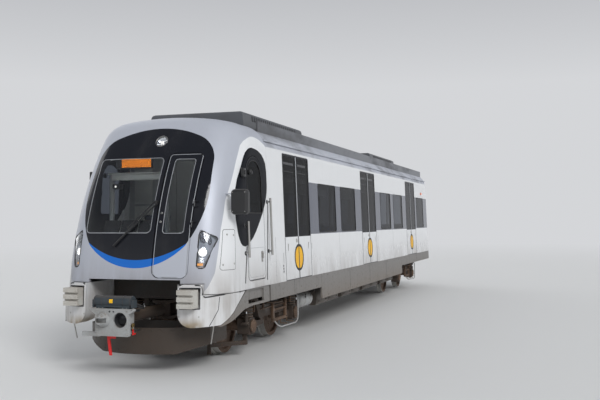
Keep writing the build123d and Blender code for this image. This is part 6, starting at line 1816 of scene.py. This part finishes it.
def roof_runs():
    """Ribs across the roof, conduits along it and three low aerials."""
    ribs = new_piece("roof_ribs", "roof")
    conduits = new_piece("roof_conduits", "case", slot="roof_grey")
    for k in range(24):
        x = -8.2 + 0.61 * k
        if any(low - 0.2 < x < high + 0.2 for low, high in PODS) or x > 6.2:
            continue
        points = [on_roof(x, -0.86 + 0.086 * i) for i in range(21)]
        ribs.bead([p[0] for p in points], [p[1] for p in points], 0.045, 0.010, closed=False)
    for y in (-0.42, 0.42):
        for first, last in ((-8.25, -5.45), (-2.30, 3.17)):
            points = [on_roof(first + (last - first) * i / 16, y) for i in range(17)]
            conduits.tube([spot + normal * 0.026 for spot, normal in points], 0.016, 12)
            for spot, normal in points[1:-1:3]:
                conduits.block(spot + normal * 0.014, (0.030, 0.070, 0.036), 0.004)
    for x in (2.6, -1.7, -7.2):
        conduits.lathe(*on_roof(x, 0.0), [(-0.004, 0.085), (0.012, 0.085), (0.020, 0.060), (0.060, 0.030),
                                          (0.085, 0.012)], 24)


def rear_details():
    """Bolted flange of the gangway, tail lamps, sockets and grab handles of the rear end."""
    bolts = new_piece("gangway_bolts", "steel")
    lamps = new_piece("tail_lamps", "red", slot="lamp_glass")
    bezels = new_piece("tail_lamp_bezels_and_sockets", "black")
    grips = new_piece("rear_grab_handles", "steel")
    for point in rounded(box_outline(-0.655, 0.655, 1.10, 3.19), 0.06, 0.16):
        spot = REAR_TREE.ray_cast(Vector((-RAY_FRONT_X, point.x, point.y)), AHEAD)[0]
        if spot is not None and spot.x > REAR_X - 0.01:
            bolts.bolt(spot, -AHEAD, 0.008, 0.009)
    for y in (-0.98, 0.98):
        for z in (1.52, 1.66):
            spot = Vector((REAR_X, y, z))
            bezels.lathe(spot, -AHEAD, [(-0.002, 0.062), (0.008, 0.062), (0.012, 0.054), (0.006, 0.048)], 28)
            lamps.lathe(spot, -AHEAD, [(0.0, 0.047), (0.006, 0.045), (0.012, 0.034), (0.015, 0.008)], 24)
        grips.rod((REAR_X - 0.055, y, 1.90), (REAR_X - 0.055, y, 2.40), 0.014)
        for z in (1.93, 2.37):
            grips.rod((REAR_X, y, z), (REAR_X - 0.055, y, z), 0.011)
            grips.lathe((REAR_X, y, z), -AHEAD, [(-0.001, 0.028), (0.005, 0.028), (0.007, 0.020)], 18)
        bezels.span((REAR_X - 0.09, y - 0.10, 1.16), (REAR_X + 0.002, y + 0.10, 1.34), 0.012)
        bezels.lathe((REAR_X - 0.088, y, 1.25), -AHEAD, [(0, 0.055), (0.030, 0.055), (0.034, 0.046)], 24)


LAMP_Y = 0.46
HANDRAIL_Y = 0.621
HANDRAIL_Z = 2.96


def saloon_inside():
    """Ceiling lamps and handrails seen through the windows and doors."""
    strips = new_piece("saloon_ceiling_lamps", "ceiling")
    rails = new_piece("saloon_handrails", "steel")
    for side in (-1, 1):
        y = side * LAMP_Y
        for k in range(10):
            x = -8.1 + 1.42 * k
            strips.span((x, y - 0.06, 3.150), (x + 1.30, y + 0.06, 3.172), 0.006)
            for hang_x in (x + 0.2, x + 1.1):
                rails.rod((hang_x, y, 3.168), (hang_x, y, ceiling_z(hang_x, y)), 0.008)
        y = side * HANDRAIL_Y
        rails.rod((-8.2, y, HANDRAIL_Z), (6.0, y, HANDRAIL_Z), 0.016, 14)
        for k in range(11):
            x = -8.0 + 1.38 * k
            rails.rod((x, y, HANDRAIL_Z), (x, y, ceiling_z(x, y)), 0.011)


make_camera()
make_world()
make_floor()
make_lamps()
dress_nodes()
for build in (nose_seals, roof_lamp, sign_lights, cab_lining, cab_lights, cab_desk, driver_seat,
              coupler_face, coupler_pipes, coupler_cover_details, bumper_lines, bumper_fixings,
              mirror_details, case_details, pipe_runs, skirt_details, front_fixings, pod_details,
              roof_runs, rear_details, saloon_inside):
    build()
    finish_pieces()
for side in SIDES:
    for build in (headlight, cab_door_trim, cab_side_trim, saloon_doors, saloon_side):
        build(side)
BOGIES = {"front": FRONT_BOGIE_X, "rear": REAR_BOGIE_X}
for word, middle in BOGIES.items():
    bogie_details(word, middle)
axle_xs = [middle + end * WHEELBASE / 2 for middle in BOGIES.values() for end in (1, -1)]
for number, x in enumerate(axle_xs, 1):
    wheel_details(number, x)
finish_pieces()
